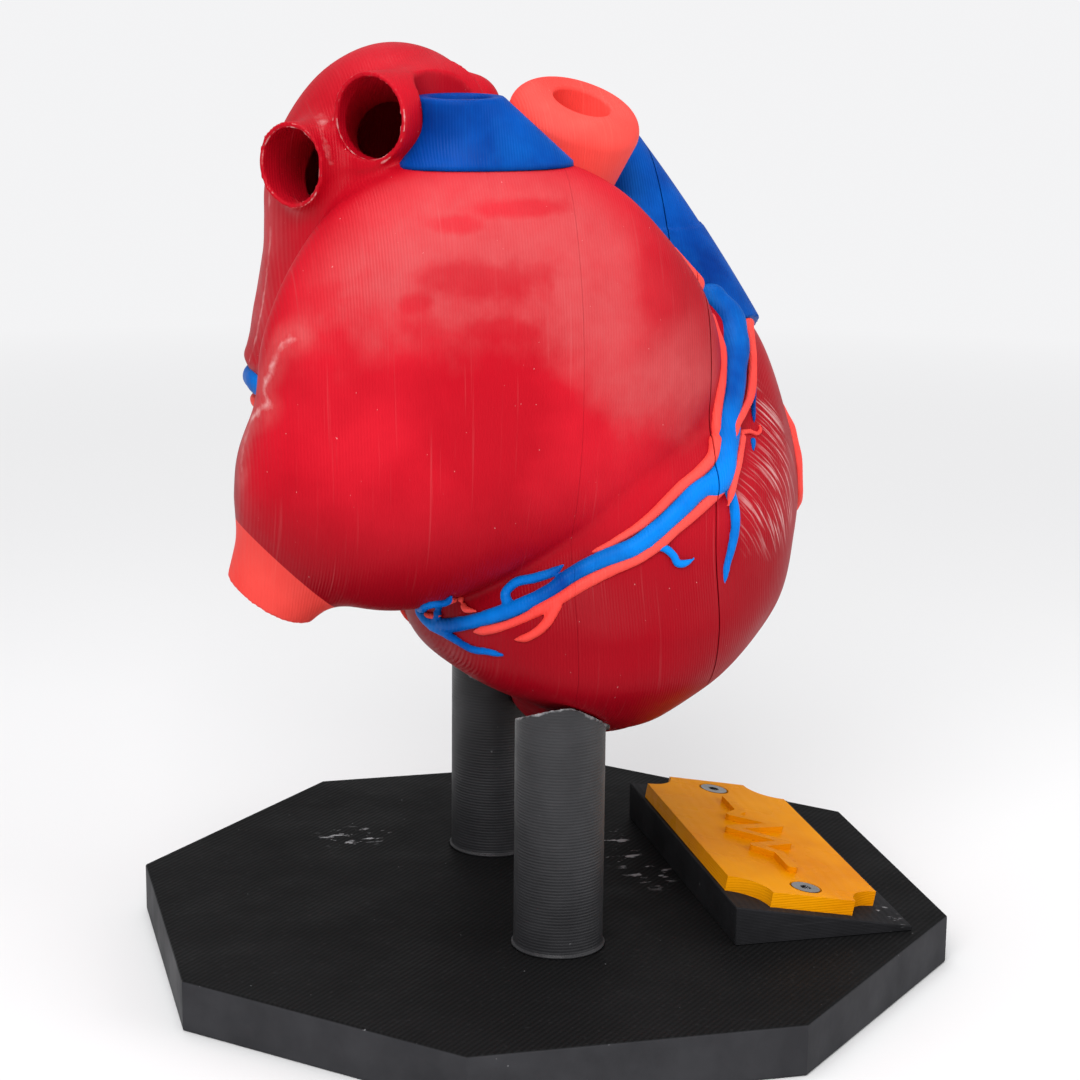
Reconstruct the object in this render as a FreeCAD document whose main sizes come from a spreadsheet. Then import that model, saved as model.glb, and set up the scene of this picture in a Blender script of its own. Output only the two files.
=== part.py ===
import FreeCAD, Part
import math
import os
from FreeCAD import Placement, Rotation, Vector

# A life-size teaching heart on an octagonal stand, in millimetres. +Z is up, the nameplate side (front)
# faces -Y, the heart's own right side faces -X, and the origin is the middle of the base's underside.
# Heights of everything on the heart are measured from heart_datum, the level of the post tops.

# ---------------------------------------------------------------- driving dimensions
DRIVING = {
    # stand
    "base_across_flats": 150,
    "base_thickness": 10,
    "post_radius": 8.5,
    "post_spacing_half": 28,
    "post_line": 3,
    "post_height": 50,
    "post_socket_depth": 5,
    "post_stock": 2,
    "socket_clearance": 0.15,
    "scoop_clearance": 0.45,
    "peg_radius": 2.5,
    "peg_forward": 7,
    "peg_reach": 0.5,
    "peg_clearance": 0.3,
    # M3 screws
    "screw_radius": 1.5,
    "screw_hole_clearance": 0.1,
    "screw_head_radius": 2.8,
    "screw_head_height": 2.2,
    "screw_length": 12,
    "hex_across_flats": 2,
    "hex_depth": 1.2,
    # nameplate and its wedge
    "wedge_width": 75,
    "wedge_back": -29.4,
    "wedge_tip": -65.2,
    "wedge_back_height": 7.8,
    "wedge_tip_height": 1,
    "plate_length": 70,
    "plate_width": 31,
    "plate_thickness": 3,
    "plate_notch_radius": 7,
    "plate_up_slope": 20.2,
    "plate_screw_half": 29.8,
    "plate_screw_length": 5,
    "pulse_half_width": 1.1,
    "pulse_relief": 1.2,
    "pulse_root": 0.5,
    "head_clearance": 0.4,
    "head_sunk": 0.3,
    # slabs
    "front_seam": -24,
    "rear_seam": 3,
    "seam_gap": 0.3,
    # great vessels
    "roof_drop": 3,
    "cava_top_radius": 8,
    "cava_top_across": -19,
    "cava_top_back": 20.4,
    "cava_bore": 5.5,
    "cava_height": 12.2,
    "aorta_radius": 12.5,
    "aorta_bore": 8.2,
    "aorta_rim_fillet": 3.6,
    "trunk_radius": 11,
    "trunk_bore": 7.5,
    "lung_vein_radius": 8.2,
    "lung_vein_bore": 7.3,
    "lower_cava_wide": 13.5,
    "lower_cava_mouth": 8.9,
    "lower_cava_bore": 5.6,
    "valve_radius": 8,
    "outflow_radius": 7,
    # surface vessels
    "vein_width": 4.4,
    "vein_relief": 2,
    "artery_width": 3.2,
    "artery_relief": 1.2,
    "branch_width": 2,
    "sinus_width": 7,
    # magnets and pins in the seams
    "magnet_radius": 2.5,
    "magnet_thickness": 2,
    "magnet_clearance": 0.05,
    "pin_radius": 1.5,
    "pin_length": 8,
    "pin_clearance": 0.25,
    # how far a cutting tool runs past the surface that it opens
    "overrun": 1,
}

# Each lobe of muscle is an ellipsoid: middle (across, back, up from heart_datum) and three radii.
LOBES = {
    "right_atrium": ((-22, 15, 59), (21, 43, 36.6)),
    "atrium_floor": ((-18, 32.5, 40), (23, 29.3, 24.7)),
    "atrium_shoulder": ((-22, 16.3, 70), (18, 36.5, 30)),
    "left_atrium": ((5.5, 26.2, 71), (33, 28, 46.2)),
}
CHAMBERS = {
    "right_atrium_room": ((-27, 14, 59), (12, 36, 29)),
    "right_ventricle_room": ((-12, -18, 24), (13, 24, 24)),
    "left_ventricle_room": ((21, -10, 24), (11, 24, 24)),
    "left_atrium_room": ((8, 30, 74), (22, 19, 38)),
}
# The ventricles are one smooth body through these ellipses, from the apex up: height over heart_datum,
# middle (across, back) and radii (across, back).
VENTRICLE_RINGS = (
    (-19.8, (15.2, -12.1), (4, 3)),
    (-18, (15.2, -12.1), (15.1, 11.2)),
    (-13, (10.4, -9.8), (24.3, 14)),
    (-6, (4.5, -8.7), (35.9, 18)),
    (2, (1.3, -7.1), (43, 29.5)),
    (12, (1.6, -9.2), (44.5, 36.7)),
    (25, (4, -12.3), (42.7, 38.1)),
    (40, (4.7, -14.6), (40.9, 35.4)),
    (54, (5.8, -14.3), (35.3, 32)),
    (66, (5.5, -15), (27.2, 25)),
    (74, (5.5, -15), (16.4, 15.6)),
    (78, (5.5, -15), (4, 4)),
)
# Ends of the straight runs of the great vessels and of the passages between chambers.
POINTS = {
    "aorta_root": (3.6, 5, 76.8),
    "aorta_mouth": (-3, -6.4, 106.8),
    "trunk_root": (-3, -34.6, 56),
    "trunk_bend": (18, -15, 91),
    "trunk_mouth": (37, -6, 95),
    "cava_inner": (-26, 15, 84),
    "lower_cava_root": (-16, 48, 30),
    "lower_cava_mouth_at": (-13, 54.8, 17.2),
    "lower_cava_inner": (-24, 36, 46),
    "upper_right_vein": (-19.5, 37.2, 105.6),
    "lower_right_vein": (-12.5, 49.5, 96.6),
    "upper_left_vein": (37.5, 34, 94),
    "lower_left_vein": (36.5, 41, 74),
    "upper_right_inner": (-4.1, 19, 105.6),
    "lower_right_inner": (-4.1, 29, 96.6),
    "upper_left_inner": (15, 22, 93),
    "lower_left_inner": (14, 28, 74),
    "tricuspid_above": (-27, 8, 40),
    "tricuspid_below": (-12, -14, 30),
    "mitral_above": (14, 24, 46),
    "mitral_below": (20, 0, 32),
    "lung_outflow": (-9, -24, 36),
    "body_outflow": (17, -5, 38),
}

doc = FreeCAD.newDocument("heart_model")
sheet = doc.addObject("Spreadsheet::Sheet", "sizes")
row_count = 0


def put(alias, value):
    """Writes one driving dimension into the sheet under its own alias."""
    global row_count
    row_count += 1
    sheet.set(f"A{row_count}", alias)
    sheet.set(f"B{row_count}", str(value))
    sheet.setAlias(f"B{row_count}", alias)


for alias, value in DRIVING.items():
    put(alias, value)
for lobe, (middle, radii) in {**LOBES, **CHAMBERS}.items():
    for suffix, value in zip(("across", "back", "up"), middle):
        put(f"{lobe}_{suffix}", value)
    for suffix, value in zip(("half_width", "half_depth", "half_height"), radii):
        put(f"{lobe}_{suffix}", value)
for point, place in POINTS.items():
    for suffix, value in zip(("across", "back", "up"), place):
        put(f"{point}_{suffix}", value)
for number, (up, middle, radii) in enumerate(VENTRICLE_RINGS, 1):
    put(f"ring_{number}_up", up)
    put(f"ring_{number}_across", middle[0])
    put(f"ring_{number}_back", middle[1])
    put(f"ring_{number}_half_width", radii[0])
    put(f"ring_{number}_half_depth", radii[1])
put("heart_datum", "=base_thickness + post_height")
put("roof_level", "=heart_datum + atrium_shoulder_up + atrium_shoulder_half_height - roof_drop")
put("wedge_slope", "=atan((wedge_back_height - wedge_tip_height) / (wedge_back - wedge_tip))")
doc.recompute()


def size(alias):
    """The value of a cell as a plain number."""
    value = sheet.get(alias)
    return getattr(value, "Value", value)


def place(point):
    """A named point of the heart in the part's frame."""
    up = size("heart_datum") + size(f"{point}_up")
    return Vector(size(f"{point}_across"), size(f"{point}_back"), up)


def bind(thing, **expressions):
    """Binds properties to expressions. A double underscore in a keyword stands for a dot."""
    for name, expression in expressions.items():
        thing.setExpression(name.replace("__", "."), expression)
    return thing


def join(name, shapes):
    """The shapes as one solid."""
    thing = doc.addObject("Part::MultiFuse", name)
    thing.Shapes = shapes
    return thing


def take_away(name, whole, tools):
    """whole without the tools."""
    thing = doc.addObject("Part::Cut", name)
    thing.Base = whole
    thing.Tool = join(f"{name}_tools", tools) if len(tools) > 1 else tools[0]
    return thing


def one_by_one(name, operation, first, others):
    """Applies Part::Fuse or Part::Cut to first with each of the others in turn."""
    whole = first
    for number, other in enumerate(others, 1):
        step = doc.addObject(operation, f"{name}_{number}")
        step.Base = whole
        step.Tool = other
        whole = step
    return whole


def keep_inside(name, whole, limit):
    """What whole and limit share."""
    thing = doc.addObject("Part::Common", name)
    thing.Base = whole
    thing.Tool = limit
    return thing


def ellipsoid(name, lobe, grown="0"):
    """An ellipsoid from its six cells, all its radii larger by the expression grown. Its poles point
    to the front and back, square to the seams."""
    thing = doc.addObject("Part::Ellipsoid", name)
    thing.Angle1 = -90
    thing.Angle2 = 90
    thing.Angle3 = 360
    thing.Placement.Rotation = Rotation(Vector(1, 0, 0), 90)
    return bind(
        thing,
        Radius1=f"sizes.{lobe}_half_depth + {grown}",
        Radius2=f"sizes.{lobe}_half_width + {grown}",
        Radius3=f"sizes.{lobe}_half_height + {grown}",
        Placement__Base__x=f"sizes.{lobe}_across",
        Placement__Base__y=f"sizes.{lobe}_back",
        Placement__Base__z=f"sizes.heart_datum + sizes.{lobe}_up",
    )


def ventricles(name, grown="0"):
    """The smooth body of both ventricles, grown alike all over by the expression grown."""
    rings = []
    lowest, highest = VENTRICLE_RINGS[0][0], VENTRICLE_RINGS[-1][0]
    for number, (up, _, _) in enumerate(VENTRICLE_RINGS, 1):
        rise = round(2 * (up - lowest) / (highest - lowest) - 1, 3)
        ring = doc.addObject("Part::Ellipse", f"{name}_ring_{number}")
        bind(
            ring,
            MajorRadius=f"sizes.ring_{number}_half_width + {grown}",
            MinorRadius=f"sizes.ring_{number}_half_depth + {grown}",
            Placement__Base__x=f"sizes.ring_{number}_across",
            Placement__Base__y=f"sizes.ring_{number}_back",
            Placement__Base__z=f"sizes.heart_datum + sizes.ring_{number}_up + {rise} * {grown}",
        )
        rings.append(ring)
    body = doc.addObject("Part::Loft", name)
    body.Sections = rings
    body.Solid = True
    return body


def rod(name, start, end, radius, extra=0.0):
    """A round bar from start to end, lengthened at both ends by extra, its radius bound to the sheet."""
    along = end - start
    thing = doc.addObject("Part::Cylinder", name)
    thing.Height = along.Length + 2 * extra
    turn = Rotation(Vector(0, 0, 1), along)
    along.normalize()
    thing.Placement = Placement(start - along * extra, turn)
    return bind(thing, Radius=radius)


def slab(name, low, high):
    """Everything between two planes square to Y."""
    reach = 400
    thing = doc.addObject("Part::Box", name)
    thing.Length = reach
    thing.Height = reach
    thing.Placement.Base = Vector(-reach / 2, 0, 0)
    return bind(thing, Width=f"({high}) - ({low})", Placement__Base__y=low)


def label(thing, name):
    """Names a finished sub-part and puts it on the list of what is written."""
    thing.Label = name
    parts.append(thing)
    return thing


parts = []
# The heart's own sides, as signs of X.
SIDES = (("right", -1), ("left", 1))


# ---------------------------------------------------------------- stand
def sketch_on(body, plane, name):
    """A sketch on one of the body's origin planes."""
    sketch = body.newObject("Sketcher::SketchObject", name)
    origin_plane = next(f for f in body.Origin.OriginFeatures if f.Role == plane)
    sketch.AttachmentSupport = [(origin_plane, "")]
    sketch.MapMode = "FlatFace"
    return sketch


def closed_outline(sketch, corners):
    """Straight lines from corner to corner and back to the first."""
    count = len(corners)
    for index, corner in enumerate(corners):
        sketch.addGeometry(Part.LineSegment(corner, corners[(index + 1) % count]))


def make_base():
    """The octagonal base, with blind sockets for the posts and counterbored screw holes below."""
    body = doc.addObject("PartDesign::Body", "base_body")
    sketch = sketch_on(body, "XY_Plane", "base_outline")
    corner_radius = size("base_across_flats") / 2 / math.cos(math.pi / 8)
    turns = [math.pi / 8 + index * math.pi / 4 for index in range(8)]
    corners = [Vector(math.cos(a) * corner_radius, math.sin(a) * corner_radius, 0) for a in turns]
    closed_outline(sketch, corners)
    pad = body.newObject("PartDesign::Pad", "base_pad")
    pad.Profile = sketch
    bind(pad, Length="sizes.base_thickness")
    tools = []
    for side, sign in SIDES:
        socket = doc.addObject("Part::Cylinder", f"{side}_post_socket")
        bind(
            socket,
            Radius="sizes.post_radius + sizes.socket_clearance",
            Height="sizes.post_socket_depth + sizes.overrun",
            Placement__Base__x=f"{sign} * sizes.post_spacing_half",
            Placement__Base__y="sizes.post_line",
            Placement__Base__z="sizes.base_thickness - sizes.post_socket_depth",
        )
        hole = doc.addObject("Part::Cylinder", f"{side}_base_screw_hole")
        bind(
            hole,
            Radius="sizes.screw_radius + sizes.screw_hole_clearance",
            Height="sizes.base_thickness",
            Placement__Base__x=f"{sign} * sizes.post_spacing_half",
            Placement__Base__y="sizes.post_line",
        )
        counterbore = doc.addObject("Part::Cylinder", f"{side}_counterbore")
        bind(
            counterbore,
            Radius="sizes.screw_head_radius + sizes.head_clearance",
            Height="sizes.screw_head_height + sizes.head_sunk + sizes.overrun",
            Placement__Base__x=f"{sign} * sizes.post_spacing_half",
            Placement__Base__y="sizes.post_line",
            Placement__Base__z="-sizes.overrun",
        )
        tools += [socket, hole, counterbore]
    return take_away("base", body, tools)


def make_scoop():
    """The ventricles grown by their clearance over the posts. Behind the rear seam the scoop runs
    straight back, so the rear slab can be drawn off over the posts."""
    grown = ventricles("scoop_front", "sizes.scoop_clearance")
    doc.recompute()
    outline = grown.Shape.slice(Vector(0, 1, 0), size("rear_seam"))
    run = doc.addObject("Part::Feature", "scoop_run")
    run.Shape = Part.Face(outline).extrude(Vector(0, 2 * size("post_radius"), 0))
    return [grown, run]


def make_post(side, sign, scoop):
    """A round post scooped to the heart's underside, with a locating peg standing in the scoop."""
    stem = doc.addObject("Part::Cylinder", f"{side}_post_stem")
    bind(
        stem,
        Radius="sizes.post_radius",
        Height="sizes.post_socket_depth + sizes.post_height + sizes.post_stock",
        Placement__Base__x=f"{sign} * sizes.post_spacing_half",
        Placement__Base__y="sizes.post_line",
        Placement__Base__z="sizes.base_thickness - sizes.post_socket_depth",
    )
    scooped = one_by_one(f"{side}_post_scooped", "Part::Cut", stem, scoop)
    peg = doc.addObject("Part::Cylinder", f"{side}_peg")
    bind(
        peg,
        Radius="sizes.peg_radius",
        Height="sizes.post_height / 2 + sizes.peg_reach",
        Placement__Base__x=f"{sign} * sizes.post_spacing_half",
        Placement__Base__y="sizes.post_line - sizes.peg_forward",
        Placement__Base__z="sizes.heart_datum - sizes.post_height / 2",
    )
    pilot = doc.addObject("Part::Cylinder", f"{side}_post_pilot")
    bind(
        pilot,
        Radius="sizes.screw_radius + sizes.screw_hole_clearance",
        Height="sizes.screw_length",
        Placement__Base__x=f"{sign} * sizes.post_spacing_half",
        Placement__Base__y="sizes.post_line",
        Placement__Base__z="sizes.base_thickness - sizes.post_socket_depth",
    )
    return take_away(f"{side}_post_solid", join(f"{side}_post_pegged", [scooped, peg]), [pilot])


def make_screw(name, foot, axis, length_alias):
    """A button-head screw with a hexagon socket: foot is the underside of its head, axis runs down the
    shank."""
    turn = Rotation(Vector(0, 0, -1), axis)
    shank = doc.addObject("Part::Cylinder", f"{name}_shank")
    shank.Placement = Placement(foot + axis * size(length_alias), turn)
    bind(shank, Radius="sizes.screw_radius", Height=f"sizes.{length_alias}")
    head = doc.addObject("Part::Cylinder", f"{name}_head")
    head.Placement = Placement(foot, turn)
    bind(head, Radius="sizes.screw_head_radius", Height="sizes.screw_head_height")
    socket = doc.addObject("Part::Prism", f"{name}_hex")
    socket.Polygon = 6
    socket.Placement = Placement(foot - axis * (size("screw_head_height") - size("hex_depth")), turn)
    bind(socket, Circumradius="sizes.hex_across_flats / sqrt(3)", Height="sizes.hex_depth + sizes.overrun")
    return take_away(name, join(f"{name}_blank", [shank, head]), [socket])


def slope_point(across, up_slope, off):
    """A point over the wedge: across it, up its slope from the tip, and off its face."""
    lean = math.radians(size("wedge_slope"))
    back = size("wedge_tip") + up_slope * math.cos(lean) - off * math.sin(lean)
    tip = size("base_thickness") + size("wedge_tip_height")
    return Vector(across, back, tip + up_slope * math.sin(lean) + off * math.cos(lean))


def make_wedge():
    """The sloping block under the nameplate: a profile seen from the side, drawn out across the base."""
    body = doc.addObject("PartDesign::Body", "wedge_body")
    sketch = sketch_on(body, "YZ_Plane", "wedge_profile")
    floor = size("base_thickness")
    back, tip = size("wedge_back"), size("wedge_tip")
    corners = [
        Vector(tip, floor, 0),
        Vector(back, floor, 0),
        Vector(back, floor + size("wedge_back_height"), 0),
        Vector(tip, floor + size("wedge_tip_height"), 0),
    ]
    closed_outline(sketch, corners)
    pad = body.newObject("PartDesign::Pad", "wedge_pad")
    pad.Profile = sketch
    pad.Midplane = True
    bind(pad, Length="sizes.wedge_width")
    tools = []
    clear = "sizes.screw_radius + sizes.screw_hole_clearance"
    through = size("wedge_back_height") + size("overrun")
    for side, sign in SIDES:
        top = slope_point(sign * size("plate_screw_half"), size("plate_up_slope"), 0)
        low = slope_point(sign * size("plate_screw_half"), size("plate_up_slope"), -through)
        tools.append(rod(f"{side}_wedge_hole", top, low, clear, size("overrun")))
    return take_away("wedge", body, tools)


def make_plate():
    """The nameplate: a flat plate with a round bite out of each corner, lying on the wedge. Its raised
    row is a plain zig-zag pulse line."""
    slab_of_plate = doc.addObject("Part::Box", "plate_blank")
    bind(
        slab_of_plate,
        Length="sizes.plate_length",
        Width="sizes.plate_width",
        Height="sizes.plate_thickness",
        Placement__Base__x="-sizes.plate_length / 2",
        Placement__Base__y="-sizes.plate_width / 2",
    )
    tools = []
    for across in (-1, 1):
        for along in (-1, 1):
            bite = doc.addObject("Part::Cylinder", f"bite_{(across + 1) // 2}_{(along + 1) // 2}")
            bind(
                bite,
                Radius="sizes.plate_notch_radius",
                Height="sizes.plate_thickness * 3",
                Placement__Base__x=f"{across} * sizes.plate_length / 2",
                Placement__Base__y=f"{along} * sizes.plate_width / 2",
                Placement__Base__z="-sizes.plate_thickness",
            )
            tools.append(bite)
    for side, sign in SIDES:
        hole = doc.addObject("Part::Cylinder", f"{side}_plate_hole")
        bind(
            hole,
            Radius="sizes.screw_radius + sizes.screw_hole_clearance",
            Height="sizes.plate_thickness * 3",
            Placement__Base__x=f"{sign} * sizes.plate_screw_half",
            Placement__Base__z="-sizes.plate_thickness",
        )
        recess = doc.addObject("Part::Cylinder", f"{side}_plate_recess")
        bind(
            recess,
            Radius="sizes.screw_head_radius + sizes.head_clearance",
            Height="sizes.plate_thickness",
            Placement__Base__x=f"{sign} * sizes.plate_screw_half",
            Placement__Base__z="sizes.plate_thickness - sizes.screw_head_height",
        )
        tools += [hole, recess]
    pulse = doc.addObject("Part::Feature", "pulse_line")
    peaks = (-21, 0), (-13, 0), (-10, 4), (-6, -4), (0, 6), (5, -6), (9, 3), (12, 0), (21, 0)
    root = size("plate_thickness") - size("pulse_root")
    row = Part.makePolygon([Vector(x, y, root) for x, y in peaks])
    ribbon = Part.Face(row.makeOffset2D(size("pulse_half_width"), 0, False, False, False))
    pulse.Shape = ribbon.extrude(Vector(0, 0, size("pulse_root") + size("pulse_relief")))
    return join("plate_flat", [take_away("plate_pierced", slab_of_plate, tools), pulse])


def lay_on_wedge(flat_plate):
    """The plate, modelled flat so that its holes and row need no slanted tools, put on the wedge."""
    laid = doc.addObject("Part::Compound", "plate_laid")
    laid.Links = [flat_plate]
    middle = slope_point(0, size("plate_up_slope"), 0)
    laid.Placement = Placement(middle, Rotation(Vector(1, 0, 0), size("wedge_slope")))
    return laid


label(make_base(), "base_plate")
scoop_shape = make_scoop()
for side, sign in SIDES:
    label(make_post(side, sign, scoop_shape), f"{side}_post")
post_screws = []
for side, sign in SIDES:
    head_foot = size("screw_head_height") + size("head_sunk")
    foot = Vector(sign * size("post_spacing_half"), size("post_line"), head_foot)
    post_screws.append(make_screw(f"{side}_post_screw", foot, Vector(0, 0, 1), "screw_length"))
group = doc.addObject("Part::Compound", "post_screw_pair")
group.Links = post_screws
label(group, "post_screws")
label(make_wedge(), "nameplate_wedge")
label(lay_on_wedge(make_plate()), "nameplate")
plate_screws = []
into_wedge = Rotation(Vector(1, 0, 0), size("wedge_slope")).multVec(Vector(0, 0, -1))
for side, sign in SIDES:
    under_head = size("plate_thickness") - size("screw_head_height")
    foot = slope_point(sign * size("plate_screw_half"), size("plate_up_slope"), under_head)
    plate_screws.append(make_screw(f"{side}_plate_screw", foot, into_wedge, "plate_screw_length"))
group = doc.addObject("Part::Compound", "plate_screw_pair")
group.Links = plate_screws
label(group, "nameplate_screws")
doc.recompute()

# ---------------------------------------------------------------- slabs of the heart
half_gap = "sizes.seam_gap / 2"
# Past everything on every side of the heart.
far_side = 200
front_room = slab("front_room", f"-{far_side}", f"sizes.front_seam - {half_gap}")
middle_room = slab("middle_room", f"sizes.front_seam + {half_gap}", f"sizes.rear_seam - {half_gap}")
rear_room = slab("rear_room", f"sizes.rear_seam + {half_gap}", f"{far_side}")
not_front = slab("not_front_room", f"sizes.front_seam + {half_gap}", f"{far_side}")
# The lobes that reach into each slab besides the ventricles.
SLABS = {
    "front": (front_room, ("right_atrium",)),
    "middle": (middle_room, ("right_atrium", "atrium_shoulder", "left_atrium")),
    "rear": (rear_room, ("right_atrium", "atrium_shoulder", "left_atrium", "atrium_floor")),
}


def lobes_in(slab_name, name, grown="0"):
    """The muscle of one slab as a full solid, grown alike all over. The right atrium's shoulder is
    sliced flat for the vena cava."""
    room, names = SLABS[slab_name]
    shapes = [keep_inside(f"{name}_ventricles_kept", ventricles(f"{name}_ventricles", grown), room)]
    for lobe in names:
        shape = ellipsoid(f"{name}_{lobe}", lobe, grown)
        if lobe == "atrium_shoulder":
            above = doc.addObject("Part::Box", f"{name}_above_roof")
            bind(
                above,
                Length=f"{far_side}",
                Width=f"{far_side}",
                Height=f"{far_side}",
                Placement__Base__x=f"-{far_side} / 2",
                Placement__Base__y=f"-{far_side} / 2",
                Placement__Base__z="sizes.roof_level",
            )
            shape = take_away(f"{name}_sliced_shoulder", shape, [above])
        shapes.append(keep_inside(f"{name}_{lobe}_kept", shape, room))
    return one_by_one(f"{name}_joined", "Part::Fuse", shapes[0], shapes[1:])


def make_aorta_blank(name, radius):
    """The aorta's outside with a rounded rim at its mouth."""
    blank = rod(name, place("aorta_root"), place("aorta_mouth"), radius)
    doc.recompute()
    mouth = place("aorta_mouth")
    near = 0.1
    edges = [edge.Closed and edge.CenterOfMass.isEqual(mouth, near) for edge in blank.Shape.Edges]
    rim = edges.index(True) + 1
    rounded = doc.addObject("Part::Fillet", f"{name}_rounded")
    rounded.Base = blank
    rounded.Edges = [(rim, size("aorta_rim_fillet"), size("aorta_rim_fillet"))]
    return rounded


def make_trunk(name, radius, extra=0.0):
    """The pulmonary trunk's bent run: up out of the right ventricle, then over to the heart's left."""
    bend = doc.addObject("Part::Sphere", f"{name}_bend")
    bend.Placement.Base = place("trunk_bend")
    bind(bend, Radius=radius)
    rise = rod(f"{name}_rise", place("trunk_root"), place("trunk_bend"), radius)
    over = rod(f"{name}_over", place("trunk_bend"), place("trunk_mouth"), radius)
    if extra:
        over.Height = over.Height.Value + extra
    return join(name, [rise, bend, over])


def make_cava_blank():
    """The upper vena cava's outside: from the atrium's sliced shoulder up to a round mouth."""
    level = "(sizes.atrium_shoulder_half_height - sizes.roof_drop)"
    share = f"sqrt(1 - pow({level} / sizes.atrium_shoulder_half_height; 2))"
    along_back = Rotation(Vector(0, 0, 1), 90)
    foot = doc.addObject("Part::Ellipse", "cava_foot")
    foot.Placement.Rotation = along_back
    bind(
        foot,
        MajorRadius=f"sizes.atrium_shoulder_half_depth * {share}",
        MinorRadius=f"sizes.atrium_shoulder_half_width * {share}",
        Placement__Base__x="sizes.atrium_shoulder_across",
        Placement__Base__y="sizes.atrium_shoulder_back",
        Placement__Base__z="sizes.roof_level",
    )
    mouth = doc.addObject("Part::Circle", "cava_mouth")
    mouth.Placement.Rotation = along_back
    bind(
        mouth,
        Radius="sizes.cava_top_radius",
        Placement__Base__x="sizes.cava_top_across",
        Placement__Base__y="sizes.cava_top_back",
        Placement__Base__z="sizes.roof_level + sizes.cava_height",
    )
    loft = doc.addObject("Part::Loft", "cava_blank")
    loft.Sections = [foot, mouth]
    loft.Solid = True
    return loft


def make_lower_cava_blank():
    """The lower vena cava's outside, narrowing to its mouth."""
    along = place("lower_cava_mouth_at") - place("lower_cava_root")
    cone = doc.addObject("Part::Cone", "lower_cava_blank")
    cone.Height = along.Length
    cone.Placement = Placement(place("lower_cava_root"), Rotation(Vector(0, 0, 1), along))
    return bind(cone, Radius1="sizes.lower_cava_wide", Radius2="sizes.lower_cava_mouth")


LUNG_VEINS = {
    "upper_right": ("upper_right_vein", "upper_right_inner"),
    "lower_right": ("lower_right_vein", "lower_right_inner"),
    "upper_left": ("upper_left_vein", "upper_left_inner"),
    "lower_left": ("lower_left_vein", "lower_left_inner"),
}
aorta_blank = make_aorta_blank("aorta_blank", "sizes.aorta_radius")
aorta_cleared = make_aorta_blank("aorta_cleared", "sizes.aorta_radius + sizes.seam_gap")
trunk_blank = make_trunk("trunk_blank", "sizes.trunk_radius")
trunk_cleared = make_trunk("trunk_cleared", "sizes.trunk_radius + sizes.seam_gap", size("seam_gap"))
trunk_lumen = make_trunk("trunk_lumen", "sizes.trunk_bore", size("overrun"))
cava_blank = make_cava_blank()
lower_cava_blank = make_lower_cava_blank()
cava_height = size("roof_level") + size("cava_height")
cava_top = Vector(size("cava_top_across"), size("cava_top_back"), cava_height)
overrun = size("overrun")
cava_lumen = rod("cava_lumen", cava_top, place("cava_inner"), "sizes.cava_bore", 2 * overrun)
lower_lumen = rod(
    "lower_cava_lumen",
    place("lower_cava_mouth_at"),
    place("lower_cava_inner"),
    "sizes.lower_cava_bore",
    2 * overrun,
)

stubs = []
hollows = [ellipsoid(chamber, chamber) for chamber in CHAMBERS]
for vein, (mouth, inner) in LUNG_VEINS.items():
    stubs.append(rod(f"{vein}_stub", place(mouth), place(inner), "sizes.lung_vein_radius"))
    hollows.append(rod(f"{vein}_bore", place(mouth), place(inner), "sizes.lung_vein_bore", overrun))
for name, above, below, radius in (
    ("tricuspid", "tricuspid_above", "tricuspid_below", "sizes.valve_radius"),
    ("mitral", "mitral_above", "mitral_below", "sizes.valve_radius"),
    ("lung_way", "trunk_root", "lung_outflow", "sizes.trunk_bore"),
    ("body_way", "aorta_root", "body_outflow", "sizes.outflow_radius"),
):
    hollows.append(rod(f"{name}_passage", place(above), place(below), radius, overrun))

vessel_seats = [aorta_blank, trunk_blank, cava_blank, lower_cava_blank]
hollows += [cava_lumen, lower_lumen]
outside = {slab_name: lobes_in(slab_name, f"{slab_name}_muscle") for slab_name in SLABS}


def make_wall(slab_name, stubs_of_slab, tools):
    """A slab's muscle with its stubs, less the hollows, the seats of the great vessels and the tools."""
    full = one_by_one(f"{slab_name}_stubbed", "Part::Fuse", outside[slab_name], stubs_of_slab)
    return one_by_one(f"{slab_name}_wall", "Part::Cut", full, hollows + vessel_seats + tools)


# What sits in the two seams: places across and up from heart_datum.
FRONT_MAGNETS = ((5, 5), (38.5, 26), (-29, 18))
REAR_MAGNETS = ((0, -2), (35.5, 24), (-6, 58))
FRONT_PINS = ((-31, 12), (36, 16))
REAR_PINS = ((-16, 0), (16, -3))


def across_seam(name, spots, seam, near, far, radius):
    """Round bars through a seam plane, from near to far of it along Y."""
    bars = []
    for number, (across, up) in enumerate(spots, 1):
        start = Vector(across, size(seam) + near, size("heart_datum") + up)
        end = Vector(across, size(seam) + far, size("heart_datum") + up)
        bars.append(rod(f"{name}_{number}", start, end, radius))
    return bars


gap = size("seam_gap") / 2
deep = size("magnet_thickness") + gap
reach = size("pin_length") / 2
magnet = "sizes.magnet_radius"
pocket = "sizes.magnet_radius + sizes.magnet_clearance"
pin = "sizes.pin_radius"
tight = "sizes.pin_radius + sizes.magnet_clearance"
loose = "sizes.pin_radius + sizes.pin_clearance"
slack = size("pin_clearance")


def peg_sockets():
    """The blind holes that the posts' pegs stand in."""
    sockets = []
    for side, sign in SIDES:
        socket = doc.addObject("Part::Cylinder", f"{side}_peg_socket")
        bind(
            socket,
            Radius="sizes.peg_radius + sizes.peg_clearance",
            Height="sizes.post_height / 2 + sizes.peg_reach + sizes.peg_clearance",
            Placement__Base__x=f"{sign} * sizes.post_spacing_half",
            Placement__Base__y="sizes.post_line - sizes.peg_forward",
            Placement__Base__z="sizes.heart_datum - sizes.post_height / 2",
        )
        sockets.append(socket)
    return sockets


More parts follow.
